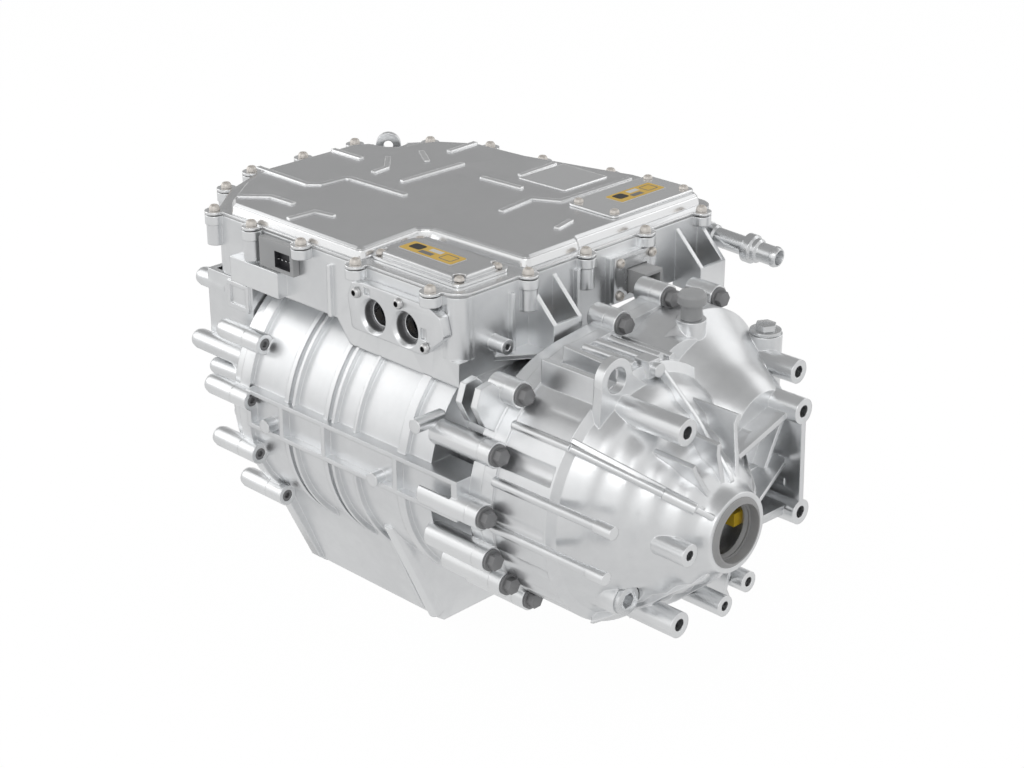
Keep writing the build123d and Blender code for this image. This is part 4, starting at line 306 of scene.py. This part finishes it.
def material(name, group, colours, numbers, bump=0.05, metallic=1.0, edge_radius=0.0):
    """A Principled material fed by one of the shared groups, with its own values and edge rounding."""
    made = bpy.data.materials.new(name)
    made.use_nodes = True
    tree = made.node_tree
    surface = tree.nodes["Principled BSDF"]
    finish = tree.nodes.new("ShaderNodeGroup")
    finish.node_tree = GROUPS[group]
    for socket, value in colours.items():
        finish.inputs[socket].default_value = (*value, 1.0)
    for socket, value in numbers.items():
        finish.inputs[socket].default_value = value
    tree.links.new(finish.outputs["Colour"], surface.inputs["Base Color"])
    tree.links.new(finish.outputs["Roughness"], surface.inputs["Roughness"])
    raise_it = tree.nodes.new("ShaderNodeBump")
    raise_it.inputs["Strength"].default_value = bump
    raise_it.inputs["Distance"].default_value = BUMP_DISTANCE
    tree.links.new(finish.outputs["Height"], raise_it.inputs["Height"])
    if edge_radius:
        rounding = tree.nodes.new("ShaderNodeBevel")
        rounding.samples = ROUNDING_SAMPLES
        rounding.inputs["Radius"].default_value = edge_radius
        tree.links.new(rounding.outputs["Normal"], raise_it.inputs["Normal"])
    tree.links.new(raise_it.outputs["Normal"], surface.inputs["Normal"])
    surface.inputs["Metallic"].default_value = metallic
    return made


FINISHES = {
    "cast_aluminium": material(
        "cast_aluminium", "cast", CAST_COLOURS,
        {"Edge Share": 0.5, "Grain Scale": 1500.0, "Roughness": 0.33}, bump=0.01, edge_radius=CAST_EDGE_R),
    "socket_casting": material(
        "socket_casting", "cast", CAST_COLOURS,
        {"Edge Share": 0.5, "Grain Scale": 1500.0, "Roughness": 0.31}, bump=0.01, edge_radius=CAST_EDGE_R),
    # The lid's strongly lighter edges are partly wear and partly a painted highlight
    "cover_grey": material(
        "cover_grey", "cast",
        {"Colour": (0.75, 0.756, 0.762), "Shade": (0.72, 0.726, 0.733), "Edge": (0.92, 0.925, 0.93)},
        {"Edge Share": 0.8, "Grain Scale": 1800.0, "Roughness": 0.26}, bump=0.005, edge_radius=COVER_EDGE_R),
    "gasket_grey": material(
        "gasket_grey", "fine", {"Colour": (0.50, 0.50, 0.505), "Worn": (0.58, 0.58, 0.58)},
        {"Wear": 0.3, "Roughness": 0.6}, metallic=0.0),
    "zinc_screws": material(
        "zinc_screws", "fine", {"Colour": (0.72, 0.68, 0.635), "Worn": (0.80, 0.77, 0.73)},
        {"Wear": 0.6, "Speckle Scale": 2500.0, "Roughness": 0.45}, metallic=0.6),
    "socket_screw": material(
        "socket_screw", "fine", {"Colour": (0.70, 0.70, 0.70), "Worn": (0.78, 0.78, 0.78)},
        {"Wear": 0.4, "Speckle Scale": 2500.0, "Roughness": 0.38}),
    # Painted shade: the copper terminals are coloured nearly black, as they sit deep in the power sockets
    "copper_in_painted_shade": material(
        "copper_in_painted_shade", "fine", {"Colour": (0.07, 0.06, 0.05), "Worn": (0.12, 0.10, 0.08)},
        {"Wear": 0.5, "Roughness": 0.45}),
    "bolt_dark": material(
        "bolt_dark", "fine", {"Colour": (0.24, 0.24, 0.245), "Worn": (0.38, 0.38, 0.385)},
        {"Wear": 0.55, "Speckle Scale": 2500.0, "Roughness": 0.5}, metallic=0.6),
    "gear_steel": material(
        "gear_steel", "turned", {"Colour": (0.58, 0.58, 0.59), "Shade": (0.45, 0.45, 0.46)},
        {"Ring Scale": 900.0, "Roughness": 0.26}),
    "bearing_steel": material(
        "bearing_steel", "turned", {"Colour": (0.66, 0.66, 0.67), "Shade": (0.57, 0.57, 0.58)},
        {"Ring Scale": 1500.0, "Roughness": 0.16}),
    "cage_plastic": material(
        "cage_plastic", "fine", {"Colour": (0.09, 0.10, 0.11), "Worn": (0.16, 0.17, 0.18)},
        {"Wear": 0.3, "Roughness": 0.45}, metallic=0.0),
    "case_iron": material(
        "case_iron", "cast",
        {"Colour": (0.22, 0.22, 0.22), "Shade": (0.15, 0.15, 0.15), "Edge": (0.4, 0.4, 0.4)},
        {"Edge Share": 0.5, "Grain Scale": 900.0, "Roughness": 0.5}, bump=0.2),
    "lamination_steel": material(
        "lamination_steel", "turned", {"Colour": (0.33, 0.33, 0.34), "Shade": (0.2, 0.2, 0.21)},
        {"Ring Scale": 2500.0, "Roughness": 0.42}, bump=0.3),
    "magnet_grey": material(
        "magnet_grey", "fine", {"Colour": (0.34, 0.34, 0.35), "Worn": (0.5, 0.5, 0.51)},
        {"Wear": 0.4, "Roughness": 0.35}),
    "machined_aluminium": material(
        "machined_aluminium", "turned", {"Colour": (0.80, 0.81, 0.82), "Shade": (0.68, 0.69, 0.70)},
        {"Ring Scale": 1200.0, "Roughness": 0.27}),
    "copper": material(
        "copper", "fine", {"Colour": (0.72, 0.36, 0.2), "Worn": (0.85, 0.5, 0.32)},
        {"Wear": 0.5, "Roughness": 0.3}),
    "seal_rubber": material(
        "seal_rubber", "fine", {"Colour": (0.34, 0.34, 0.34), "Worn": (0.45, 0.45, 0.45)},
        {"Wear": 0.5, "Roughness": 0.42}, metallic=0.0),
    "guide_yellow": material(
        "guide_yellow", "fine", {"Colour": (0.72, 0.47, 0.015), "Worn": (0.8, 0.58, 0.08)},
        {"Wear": 0.3, "Roughness": 0.4}, metallic=0.0),
    "plastic_grey": material(
        "plastic_grey", "fine", {"Colour": (0.37, 0.375, 0.38), "Worn": (0.5, 0.5, 0.5)},
        {"Wear": 0.4, "Speckle Scale": 1600.0, "Roughness": 0.42}, metallic=0.0),
    "plastic_dark": material(
        "plastic_dark", "fine", {"Colour": (0.045, 0.045, 0.05), "Worn": (0.1, 0.1, 0.1)},
        {"Wear": 0.3, "Roughness": 0.45}, metallic=0.0),
    "board_green": material(
        "board_green", "fine", {"Colour": (0.02, 0.13, 0.055), "Worn": (0.04, 0.2, 0.09)},
        {"Wear": 0.3, "Roughness": 0.3}, metallic=0.0),
    "label_amber": material(
        "label_amber", "fine", {"Colour": (0.70, 0.45, 0.075), "Worn": (0.72, 0.48, 0.1)},
        {"Wear": 0.3, "Roughness": 0.42}, bump=0.02, metallic=0.0),
    "label_pale": material(
        "label_pale", "fine", {"Colour": (0.62, 0.63, 0.64), "Worn": (0.7, 0.7, 0.7)},
        {"Wear": 0.3, "Roughness": 0.42}, bump=0.02, metallic=0.0),
    "label_grey": material(
        "label_grey", "fine", {"Colour": (0.17, 0.17, 0.175), "Worn": (0.22, 0.22, 0.22)},
        {"Wear": 0.3, "Roughness": 0.42}, bump=0.02, metallic=0.0),
    "label_dark": material(
        "label_dark", "fine", {"Colour": (0.012, 0.011, 0.010), "Worn": (0.05, 0.045, 0.035)},
        {"Wear": 0.4, "Roughness": 0.42}, bump=0.02, metallic=0.0),
}


# Painted shade in the depths of the power sockets and at the centres of the port screws, laid by place. Each
# axis is (x, z) in mm

PORT_AXES = ((-293.0, 118.0), (-256.0, 118.0))
PORT_BORE_R = 12.9
# Painted shade: the socket walls grow darker and less metallic deeper in, and the socket floors are nearly
# black
PORT_WALL_Y = (-93.0, -90.0)
PORT_WALL_PAINTED_SHADE = (0.2, 0.2, 0.205)
PORT_WALL_METALLIC = 0.5
PORT_FLOOR_Y = (-84.0, -80.0)
PORT_FLOOR_PAINTED_SHADE = (0.03, 0.03, 0.032)
# Painted shade: a dark disc at the centre of each port screw stands for the shade inside a hole
PORT_SCREW_AXES = ((-311.0, 134.0), (-233.0, 109.0), (-262.0, 138.0))
SCREW_SOCKET_R = 2.3
SCREW_SOCKET_Y = (-130.0, -129.0)
SCREW_SOCKET_PAINTED_SHADE = (0.04, 0.04, 0.042)


def paint_round_shade(made, axes, radius, start_y, full_y, shade, metallic=1.0):
    """Mixes painted shade into a material within radius of axes along Y, from start_y to full_y and beyond.
    """
    tree = made.node_tree
    surface = tree.nodes["Principled BSDF"]
    metal = surface.inputs["Base Color"].links[0].from_socket
    place = tree.nodes.new("ShaderNodeSeparateXYZ")
    tree.links.new(object_place(tree), place.inputs[0])
    inside = 0.0
    for x, z in axes:
        off_x = sums(tree, "SUBTRACT", place.outputs["X"], x * MM)
        off_z = sums(tree, "SUBTRACT", place.outputs["Z"], z * MM)
        reach = sums(tree, "ADD", sums(tree, "MULTIPLY", off_x, off_x), sums(tree, "MULTIPLY", off_z, off_z))
        inside = sums(tree, "MAXIMUM", sums(tree, "LESS_THAN", reach, (radius * MM) ** 2), inside)
    depth = ramp(tree, place.outputs["Y"], start_y * MM, full_y * MM)
    share = sums(tree, "MULTIPLY", inside, depth)
    tree.links.new(blend_colour(tree, share, metal, shade), surface.inputs["Base Color"])
    if metallic < 1.0:
        tree.links.new(ramp(tree, share, 0.0, 1.0, 1.0, metallic), surface.inputs["Metallic"])


# Painted shade on the walls and floors of the power sockets
paint_round_shade(FINISHES["socket_casting"], PORT_AXES, PORT_BORE_R, *PORT_WALL_Y, PORT_WALL_PAINTED_SHADE,
            PORT_WALL_METALLIC)
paint_round_shade(FINISHES["socket_casting"], PORT_AXES, PORT_BORE_R, *PORT_FLOOR_Y, PORT_FLOOR_PAINTED_SHADE)
# Painted shade at the centres of the port screws
paint_round_shade(FINISHES["socket_screw"], PORT_SCREW_AXES, SCREW_SOCKET_R, *SCREW_SOCKET_Y, SCREW_SOCKET_PAINTED_SHADE)


# CAD nodes: finish and softened edges

CREASE_ANGLE = math.radians(32)
WELD_DISTANCE = 0.00001
FLAT_ANGLE = math.radians(1.0)
ROUNDED_ANGLE = math.radians(40)
ROUND_SEGMENTS = 2


def make_soft_faces():
    """Geometry nodes that shade a mesh smooth, apart from its sharp edges."""
    tree = bpy.data.node_groups.new("soft_faces", "GeometryNodeTree")
    tree.interface.new_socket(name="Geometry", in_out="INPUT", socket_type="NodeSocketGeometry")
    tree.interface.new_socket(name="Geometry", in_out="OUTPUT", socket_type="NodeSocketGeometry")
    given = tree.nodes.new("NodeGroupInput")
    result = tree.nodes.new("NodeGroupOutput")
    smooth = tree.nodes.new("GeometryNodeSetShadeSmooth")
    smooth.domain = "FACE"
    smooth.inputs["Shade Smooth"].default_value = True
    crease = tree.nodes.new("GeometryNodeSetShadeSmooth")
    crease.domain = "EDGE"
    crease.inputs["Shade Smooth"].default_value = False
    angle = tree.nodes.new("GeometryNodeInputMeshEdgeAngle")
    sharp = tree.nodes.new("FunctionNodeCompare")
    sharp.operation = "GREATER_THAN"
    sharp.inputs["B"].default_value = CREASE_ANGLE
    tree.links.new(given.outputs["Geometry"], smooth.inputs["Geometry"])
    tree.links.new(smooth.outputs["Geometry"], crease.inputs["Geometry"])
    tree.links.new(angle.outputs["Unsigned Angle"], sharp.inputs["A"])
    tree.links.new(sharp.outputs["Result"], crease.inputs["Selection"])
    tree.links.new(crease.outputs["Geometry"], result.inputs["Geometry"])
    return tree


SOFT_FACES = make_soft_faces()


def soften(piece, width):
    """Welds a mesh, joins its flat facets and rounds its edges if width is given, and shades it smooth."""
    weld = piece.modifiers.new("weld", "WELD")
    weld.merge_threshold = WELD_DISTANCE
    if width > 0:
        flat = piece.modifiers.new("flats", "DECIMATE")
        flat.decimate_type = "DISSOLVE"
        flat.angle_limit = FLAT_ANGLE
        round_off = piece.modifiers.new("edges", "BEVEL")
        round_off.limit_method = "ANGLE"
        round_off.angle_limit = ROUNDED_ANGLE
        round_off.width = width
        round_off.segments = ROUND_SEGMENTS
        round_off.use_clamp_overlap = True
    shade = piece.modifiers.new("shading", "NODES")
    shade.node_group = SOFT_FACES


record_slots = {part["node"]: part["material_slot"] for part in frame["record"]["subparts"]}

SOFT_EDGES = {
    "cover_screws": 0.3, "m4_screws": 0.25, "port_screws": 0.25, "bracket_screws": 0.3, "joint_bolts": 0.5,
    "rear_cover_bolts": 0.5, "fill_plug": 0.4, "level_plug": 0.4, "breather_cap": 0.6, "hv_port_block": 0.5,
    "lv_connector": 0.4, "connector_plate": 0.4, "signal_connector": 0.4, "coolant_inlet": 0.3,
    "coolant_outlet": 0.3,
}

OWN_FINISH = {
    "hv_port_block": "socket_casting", "hv_terminals": "copper_in_painted_shade", "port_screws": "socket_screw",
}


def dress_nodes():
    """Every CAD node gets its finish and its softened edges."""
    for node, piece in frame["nodes"].items():
        finish = FINISHES[OWN_FINISH.get(node, record_slots[node])]
        piece.data.materials.clear()
        piece.data.materials.append(finish)
        soften(piece, SOFT_EDGES.get(node, 0) * MM)


# Pieces that only the scene has

def piece_of(name, vertices, faces, finish):
    """A new object from vertices and faces, with one finish."""
    data = bpy.data.meshes.new(name)
    data.from_pydata(vertices, [], faces)
    data.materials.append(FINISHES[finish])
    return linked(name, data)


# The draft on the wall of the lid's plateau, laid on the CAD wall as a thin wedge

WALL_TOP_Z = 162.4
WALL_FOOT_Z = 155.3
WALL_DRAFT = 2.3
WALL_SKIN = 0.04
WALL_INSET = 0.3
WALL_SINK = 0.2
LOOP_WELD = 0.01
LOOP_NEAR = 0.05
UPRIGHT_NORMAL_Z = 0.1
CHAMFER_NORMAL_Z = 0.4
SMALLEST_MITRE = 0.5


def wall_top_edges(shape):
    """The edges of the lid's mesh that lie between the plateau's wall and its chamfer."""
    return [edge for edge in shape.edges
            if all(abs(corner.co.z - WALL_TOP_Z * MM) < LOOP_NEAR * MM for corner in edge.verts)
            and any(abs(face.normal.z) < UPRIGHT_NORMAL_Z for face in edge.link_faces)
            and any(abs(face.normal.z) > CHAMFER_NORMAL_Z for face in edge.link_faces)]


def wall_top_loop():
    """The closed line, in order and counter-clockwise, where the plateau's wall meets its chamfer."""
    shape = bmesh.new()
    shape.from_mesh(frame["nodes"]["inverter_cover"].data)
    bmesh.ops.remove_doubles(shape, verts=shape.verts, dist=LOOP_WELD * MM)
    beside = {}
    for edge in wall_top_edges(shape):
        first, second = edge.verts
        beside.setdefault(first, []).append(second)
        beside.setdefault(second, []).append(first)
    loops = []
    left = dict.fromkeys(beside)
    while left:
        loop = [next(iter(left))]
        left.pop(loop[0])
        following = [corner for corner in beside[loop[0]] if corner in left]
        while following:
            left.pop(following[0])
            loop.append(following[0])
            following = [corner for corner in beside[loop[-1]] if corner in left]
        loops.append([corner.co.copy() for corner in loop])
    shape.free()
    longest = max(loops, key=len)
    area = sum(a.x * b.y - b.x * a.y for a, b in zip(longest, longest[1:] + longest[:1]))
    return longest if area > 0 else longest[::-1]


def outward(before, here, after):
    """The move of a loop's point when both of its edges move out by one."""
    sides = [Vector((b.y - a.y, a.x - b.x, 0)).normalized() for a, b in ((before, here), (here, after))]
    middle = (sides[0] + sides[1]).normalized()
    return middle / max(middle.dot(sides[0]), SMALLEST_MITRE)


def make_plateau_wall():
    """A wedge all round the plateau: WALL_SKIN wide at the wall's top, WALL_DRAFT wide at its foot."""
    loop = wall_top_loop()
    count = len(loop)
    out = [outward(loop[i - 1], loop[i], loop[(i + 1) % count]) for i in range(count)]
    foot = WALL_FOOT_Z + WALL_SKIN
    section = ((WALL_SKIN, WALL_TOP_Z), (WALL_DRAFT, foot), (-WALL_INSET, foot),
               (-WALL_INSET, WALL_TOP_Z - WALL_SINK))
    vertices = [Vector((point.x, point.y, z * MM)) + move * reach * MM
                for reach, z in section for point, move in zip(loop, out)]
    faces = []
    for row in range(len(section)):
        low, high = row * count, (row + 1) % len(section) * count
        faces += [(high + i, high + (i + 1) % count, low + (i + 1) % count, low + i) for i in range(count)]
    piece = piece_of("plateau_wall", vertices, faces, "cover_grey")
    soften(piece, 0)
    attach(piece, "housing")


# Low-voltage socket on the front wall: a grey shell with a dark well and blade contacts inside

SHELL_EDGE = 0.8
WELL_SIDE = 3.0
WELL_FROM_LEFT = 20.0
WELL_FROM_TOP = 8.0
WELL_DEPTH = 5.6
BLADES = 4
BLADE_HALF_WIDTH = 1.0
BLADE_HALF_THICKNESS = 0.4
BLADE_TIP_DEPTH = 2.0
BLADE_INTO_FLOOR = 0.5
BLADE_EDGE = 0.15


def rounded_block(shape, low, high, edge, finish_index=0):
    """Adds a block with rounded edges between two corners to a bmesh, and returns its faces."""
    before = set(shape.faces)
    made = bmesh.ops.create_cube(shape, size=1.0)
    for corner in made["verts"]:
        corner.co = Vector([low[i] + (corner.co[i] + 0.5) * (high[i] - low[i]) for i in range(3)])
    edges = dict.fromkeys(side for corner in made["verts"] for side in corner.link_edges)
    bmesh.ops.bevel(shape, geom=list(edges), offset=edge, segments=2, affect="EDGES", profile=0.5)
    faces = [face for face in shape.faces if face not in before]
    for face in faces:
        face.material_index = finish_index
    return faces


def make_signal_shell():
    """A rounded shell in the connector's place, with a dark well in its front and blades in the well."""
    low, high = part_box("lv_connector")
    shape = bmesh.new()
    faces = rounded_block(shape, low, high, SHELL_EDGE * MM)
    mouth = max(faces, key=lambda face: -face.normal.y * face.calc_area())
    bmesh.ops.inset_region(shape, faces=[mouth], thickness=WELL_SIDE * MM, use_even_offset=True)
    for corner in mouth.verts:
        corner.co.x = max(corner.co.x, low.x + WELL_FROM_LEFT * MM)
        corner.co.z = min(corner.co.z, high.z - WELL_FROM_TOP * MM)
    left, right = (pick(corner.co.x for corner in mouth.verts) for pick in (min, max))
    middle = sum(corner.co.z for corner in mouth.verts) / len(mouth.verts)
    well = bmesh.ops.extrude_face_region(shape, geom=[mouth])
    floor = [item for item in well["geom"] if isinstance(item, bmesh.types.BMFace)][0]
    bmesh.ops.translate(shape, verts=floor.verts, vec=(0, WELL_DEPTH * MM, 0))
    bmesh.ops.delete(shape, geom=[mouth], context="FACES_ONLY")
    for face in [floor] + [other for side in floor.edges for other in side.link_faces]:
        face.material_index = 1
    front = low.y + BLADE_TIP_DEPTH * MM
    root = low.y + WELL_DEPTH * MM + BLADE_INTO_FLOOR * MM
    across = BLADE_HALF_WIDTH * MM
    up = BLADE_HALF_THICKNESS * MM
    for blade in range(BLADES):
        x = left + (right - left) * (blade + 0.5) / BLADES
        rounded_block(shape, (x - across, front, middle - up), (x + across, root, middle + up),
                      BLADE_EDGE * MM, 2)
    data = bpy.data.meshes.new("signal_shell")
    shape.normal_update()
    shape.to_mesh(data)
    shape.free()
    for finish in ("plastic_grey", "plastic_dark", "bearing_steel"):
        data.materials.append(FINISHES[finish])
    piece = linked("signal_shell", data)
    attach(piece, "housing")
    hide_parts("lv_connector")


# Contact ring inside each power socket, on which the plug's shield seats

RING_OUTER_R = 12.45
RING_INNER_R = 9.8
RING_FRONT_Y = -85.2
RING_BACK_Y = -77.0
RING_ROUND = 0.7
RING_ROUND_STEPS = 4
RING_STEPS = 72


def make_contact_rings():
    """One turned ring round each port axis, with its inner front edge rounded."""
    profile = [(RING_OUTER_R, RING_BACK_Y), (RING_OUTER_R, RING_FRONT_Y),
               (RING_INNER_R + RING_ROUND, RING_FRONT_Y)]
    for step in range(1, RING_ROUND_STEPS + 1):
        angle = math.radians(90 * step / RING_ROUND_STEPS)
        profile.append((RING_INNER_R + RING_ROUND * (1 - math.sin(angle)),
                        RING_FRONT_Y + RING_ROUND * (1 - math.cos(angle))))
    profile.append((RING_INNER_R, RING_BACK_Y))
    rows = len(profile)
    vertices = []
    faces = []
    for x, z in PORT_AXES:
        first = len(vertices)
        for step in range(RING_STEPS):
            angle = 2 * math.pi * step / RING_STEPS
            vertices += [Vector((x + r * math.cos(angle), y, z + r * math.sin(angle))) * MM
                         for r, y in profile]
        for step in range(RING_STEPS):
            here = first + step * rows
            there = first + (step + 1) % RING_STEPS * rows
            faces += [(here + i, there + i, there + (i + 1) % rows, here + (i + 1) % rows)
                      for i in range(rows)]
    piece = piece_of("contact_rings", vertices, faces, "machined_aluminium")
    soften(piece, 0)
    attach(piece, "housing")


# Amber plates on the two service covers, with plain shapes on them. Shapes are placed in shares of the plate

PLATE_CORNER_R = 1.6
PLATE_HEIGHTS = (-0.1, 0.42)
BACKING_LOW = (-0.4, -1.0)
BACKING_BEYOND_END = 0.9
BACKING_CORNER_R = 1.8
BACKING_HEIGHTS = (-0.15, 0.18)
SHAPE_HEIGHTS = (0.3, 0.5)
PLATE_SHAPES = (
    ("patch", (0.08, 0.3), (0.3, 0.86), 2.4, "label_dark"),
    ("block", (0.33, 0.14), (0.57, 0.42), 0.3, "label_grey"),
    ("window", (0.40, 0.56), (0.63, 0.85), 0.3, "label_pale"))
FRAME_LOW = (0.69, 0.2)
FRAME_HIGH = (0.93, 0.82)
FRAME_LINE = 0.9
FRAME_OUTER_R = 2.0
FRAME_INNER_R = 1.2


def rounded_outline(low, high, radius, steps=5):
    """Corner-rounded rectangle between two (u, v) corners, as a closed loop of points."""
    left, bottom = low[0] + radius, low[1] + radius
    right, top = high[0] - radius, high[1] - radius
    points = []
    for u, v, start in ((right, top, 0), (left, top, 90), (left, bottom, 180), (right, bottom, 270)):
        for step in range(steps + 1):
            angle = math.radians(start + 90 * step / steps)
            points.append((u + radius * math.cos(angle), v + radius * math.sin(angle)))
    return points


def plate(name, origin, along, outline, hole, heights, finish):
    """A flat plate of the (u, v) outline in mm, less the hole outline, between two heights over origin."""
    across = Vector((-along.y, along.x, 0))
    vertices = []
    for ring in (outline, hole):
        points = [Vector(origin) + along * u + across * v for u, v in ring]
        vertices += [(point + Vector((0, 0, z))) * MM for z in heights for point in points]
    count = len(outline)
    around = [(i, (i + 1) % count) for i in range(count)]
    faces = [(i, j, count + j, count + i) for i, j in around]
    if hole:
        faces += [(2 * count + j, 2 * count + i, 3 * count + i, 3 * count + j) for i, j in around]
        faces += [(count + i, count + j, 3 * count + j, 3 * count + i) for i, j in around]
        faces += [(j, i, 2 * count + i, 2 * count + j) for i, j in around]
    else:
        faces += [tuple(range(count - 1, -1, -1)), tuple(range(count, 2 * count))]
    piece = piece_of(name, vertices, faces, finish)
    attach(piece, "housing")


def label(name, origin, along, length, width):
    """One amber plate: its pale backing, a dark patch, two blocks and an outlined frame."""
    area = rounded_outline((0, 0), (length, width), PLATE_CORNER_R)
    rim = rounded_outline(BACKING_LOW, (length + BACKING_BEYOND_END, width), BACKING_CORNER_R)
    plate(name + "_backing", origin, along, rim, (), BACKING_HEIGHTS, "label_pale")
    plate(name + "_plate", origin, along, area, (), PLATE_HEIGHTS, "label_amber")
    for part, low, high, radius, finish in PLATE_SHAPES:
        outline = rounded_outline((low[0] * length, low[1] * width), (high[0] * length, high[1] * width),
                                  radius)
        plate(name + "_" + part, origin, along, outline, (), SHAPE_HEIGHTS, finish)
    left, bottom = FRAME_LOW[0] * length, FRAME_LOW[1] * width
    right, top = FRAME_HIGH[0] * length, FRAME_HIGH[1] * width
    outer = rounded_outline((left, bottom), (right, top), FRAME_OUTER_R)
    inner = rounded_outline((left + FRAME_LINE, bottom + FRAME_LINE), (right - FRAME_LINE, top - FRAME_LINE),
                            FRAME_INNER_R)
    plate(name + "_frame", origin, along, outer, inner, SHAPE_HEIGHTS, "label_grey")


def make_labels():
    """One plate on the front service cover, along X, and one on the rear service cover, along Y."""
    label("front_label", (-306.0, -54.0, 162.3), Vector((1, 0, 0)), 59.0, 18.0)
    label("rear_label", (-243.0, 141.0, 167.25), Vector((0, 1, 0)), 55.0, 19.0)


# Studio: what the metal reflects sets its tones, so floor, horizon and ceiling have their own levels there

FLOOR_HALF = 12.0
FLOOR_DROP = 0.0002
FLOOR_PAINT = (0.86, 0.86, 0.86, 1.0)
FLOOR_OWN_SHARE = 0.95
FLOOR_TO_CAMERA = 1.02
FLOOR_IN_METAL = 0.73
HORIZON_IN_METAL = 0.95
SIDE_IN_METAL = 0.8
SIDE_AIM_X = (0.45, 0.9)
CEILING_GREY = 0.38
CEILING_HEIGHT = 1.9
CEILING_CORNERS = ((-12.0, -1.6, 0.0), (-12.0, 12.0, 0.0), (1.2, 12.0, 0.0), (1.2, -1.6, 0.0))
DOME_LEVEL = 0.6
WHITE = (1.0, 1.0, 1.0, 1.0)
LAMP_TARGET = Vector((-0.27, 0.05, 0.0))
LAMPS = (
    ("key", (0.9, -1.3, 1.6), 1.2, 7.0),
    ("side", (-1.9, -0.8, 0.9), 1.4, 6.0),
    ("back", (0.6, 1.8, 1.3), 1.4, 5.0))


def surface_tree(owner, output_kind):
    """The node tree of a material or world with only an output in it, and that output's surface socket."""
    owner.use_nodes = True
    tree = owner.node_tree
    tree.nodes.clear()
    return tree, tree.nodes.new(output_kind).inputs["Surface"]


def add_node(tree, kind, colour):
    """A shader node of this kind with its own colour."""
    node = tree.nodes.new(kind)
    node.inputs["Color"].default_value = colour
    return node


def mix_shaders(tree, share, first, second, surface):
    """Links the two shader nodes, mixed by share, to a surface socket."""
    mix = tree.nodes.new("ShaderNodeMixShader")
    tree.links.new(share, mix.inputs[0])
    tree.links.new(first.outputs[0], mix.inputs[1])
    tree.links.new(second.outputs[0], mix.inputs[2])
    tree.links.new(mix.outputs[0], surface)


def seen_sharply(tree, rays):
    """1 for rays from the camera, from a reflection or through glass, and 0 for the rest."""
    direct = sums(tree, "MAXIMUM", rays.outputs["Is Camera Ray"], rays.outputs["Is Glossy Ray"])
    return sums(tree, "MAXIMUM", direct, rays.outputs["Is Transmission Ray"])


def stage_sheet(name, corners, height, paint_name):
    """A flat four-cornered sheet at this height, its node tree and its surface socket."""
    data = bpy.data.meshes.new(name)
    data.from_pydata(corners, [], [(0, 1, 2, 3)])
    sheet = linked(name, data)
    sheet.location.z = height
    paint = bpy.data.materials.new(paint_name)
    data.materials.append(paint)
    return sheet, *surface_tree(paint, "ShaderNodeOutputMaterial")


def make_floor(low):
    """A pale floor just below the part, with one level for the camera and one for the metal."""
    half = FLOOR_HALF
    corners = ((-half, -half, 0), (half, -half, 0), (half, half, 0), (-half, half, 0))
    floor, tree, surface = stage_sheet("floor", corners, low - FLOOR_DROP, "floor_paint")
    diffuse = add_node(tree, "ShaderNodeBsdfDiffuse", FLOOR_PAINT)
    white = add_node(tree, "ShaderNodeEmission", WHITE)
    rays = tree.nodes.new("ShaderNodeLightPath")
    level = ramp(tree, rays.outputs["Is Camera Ray"], 0.0, 1.0, FLOOR_IN_METAL, FLOOR_TO_CAMERA)
    tree.links.new(level, white.inputs["Strength"])
    share = sums(tree, "MULTIPLY", seen_sharply(tree, rays), FLOOR_OWN_SHARE)
    mix_shaders(tree, share, diffuse, white, surface)


def make_ceiling(low):
    """A grey ceiling over the part and behind it, seen only in reflections."""
    ceiling, tree, surface = stage_sheet("ceiling", CEILING_CORNERS, low + CEILING_HEIGHT, "ceiling_grey")
    ceiling.visible_camera = False
    ceiling.visible_diffuse = False
    ceiling.visible_shadow = False
    ceiling.visible_transmission = False
    grey = add_node(tree, "ShaderNodeEmission", WHITE)
    grey.inputs["Strength"].default_value = CEILING_GREY
    tree.links.new(grey.outputs[0], surface)


def make_world():
    """A soft dome for the light, and a surround: white to the camera, a little darker in the metal."""
    world = bpy.data.worlds.new("studio")
    scene.world = world
    tree, surface = surface_tree(world, "ShaderNodeOutputWorld")
    dome = add_node(tree, "ShaderNodeBackground", WHITE)
    dome.inputs["Strength"].default_value = DOME_LEVEL
    wall = add_node(tree, "ShaderNodeBackground", WHITE)
    rays = tree.nodes.new("ShaderNodeLightPath")
    aim = tree.nodes.new("ShaderNodeSeparateXYZ")
    tree.links.new(tree.nodes.new("ShaderNodeTexCoord").outputs["Generated"], aim.inputs[0])
    horizon = ramp(tree, aim.outputs["X"], *SIDE_AIM_X, HORIZON_IN_METAL, SIDE_IN_METAL)
    level = sums(tree, "MAXIMUM", rays.outputs["Is Camera Ray"], horizon)
    tree.links.new(level, wall.inputs["Strength"])
    mix_shaders(tree, seen_sharply(tree, rays), dome, wall, surface)


def make_lamps():
    """Three large square lamps that look at the part."""
    for name, offset, size, power in LAMPS:
        lamp = bpy.data.lights.new(name, "AREA")
        lamp.shape = "SQUARE"
        lamp.size = size
        lamp.energy = power
        held = linked(name, lamp)
        held.location = LAMP_TARGET + Vector(offset)
        held.rotation_euler = (LAMP_TARGET - held.location).to_track_quat("-Z", "Y").to_euler()


def make_studio():
    """Floor, ceiling, world and lamps, with the Standard view and a denoised picture."""
    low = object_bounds()[0].z
    make_floor(low)
    make_ceiling(low)
    make_world()
    make_lamps()
    scene.view_settings.view_transform = "Standard"
    scene.cycles.use_denoising = True
    scene.cycles.denoiser = "OPENIMAGEDENOISE"


place_camera()
dress_nodes()
make_plateau_wall()
make_signal_shell()
make_contact_rings()
make_labels()
make_studio()
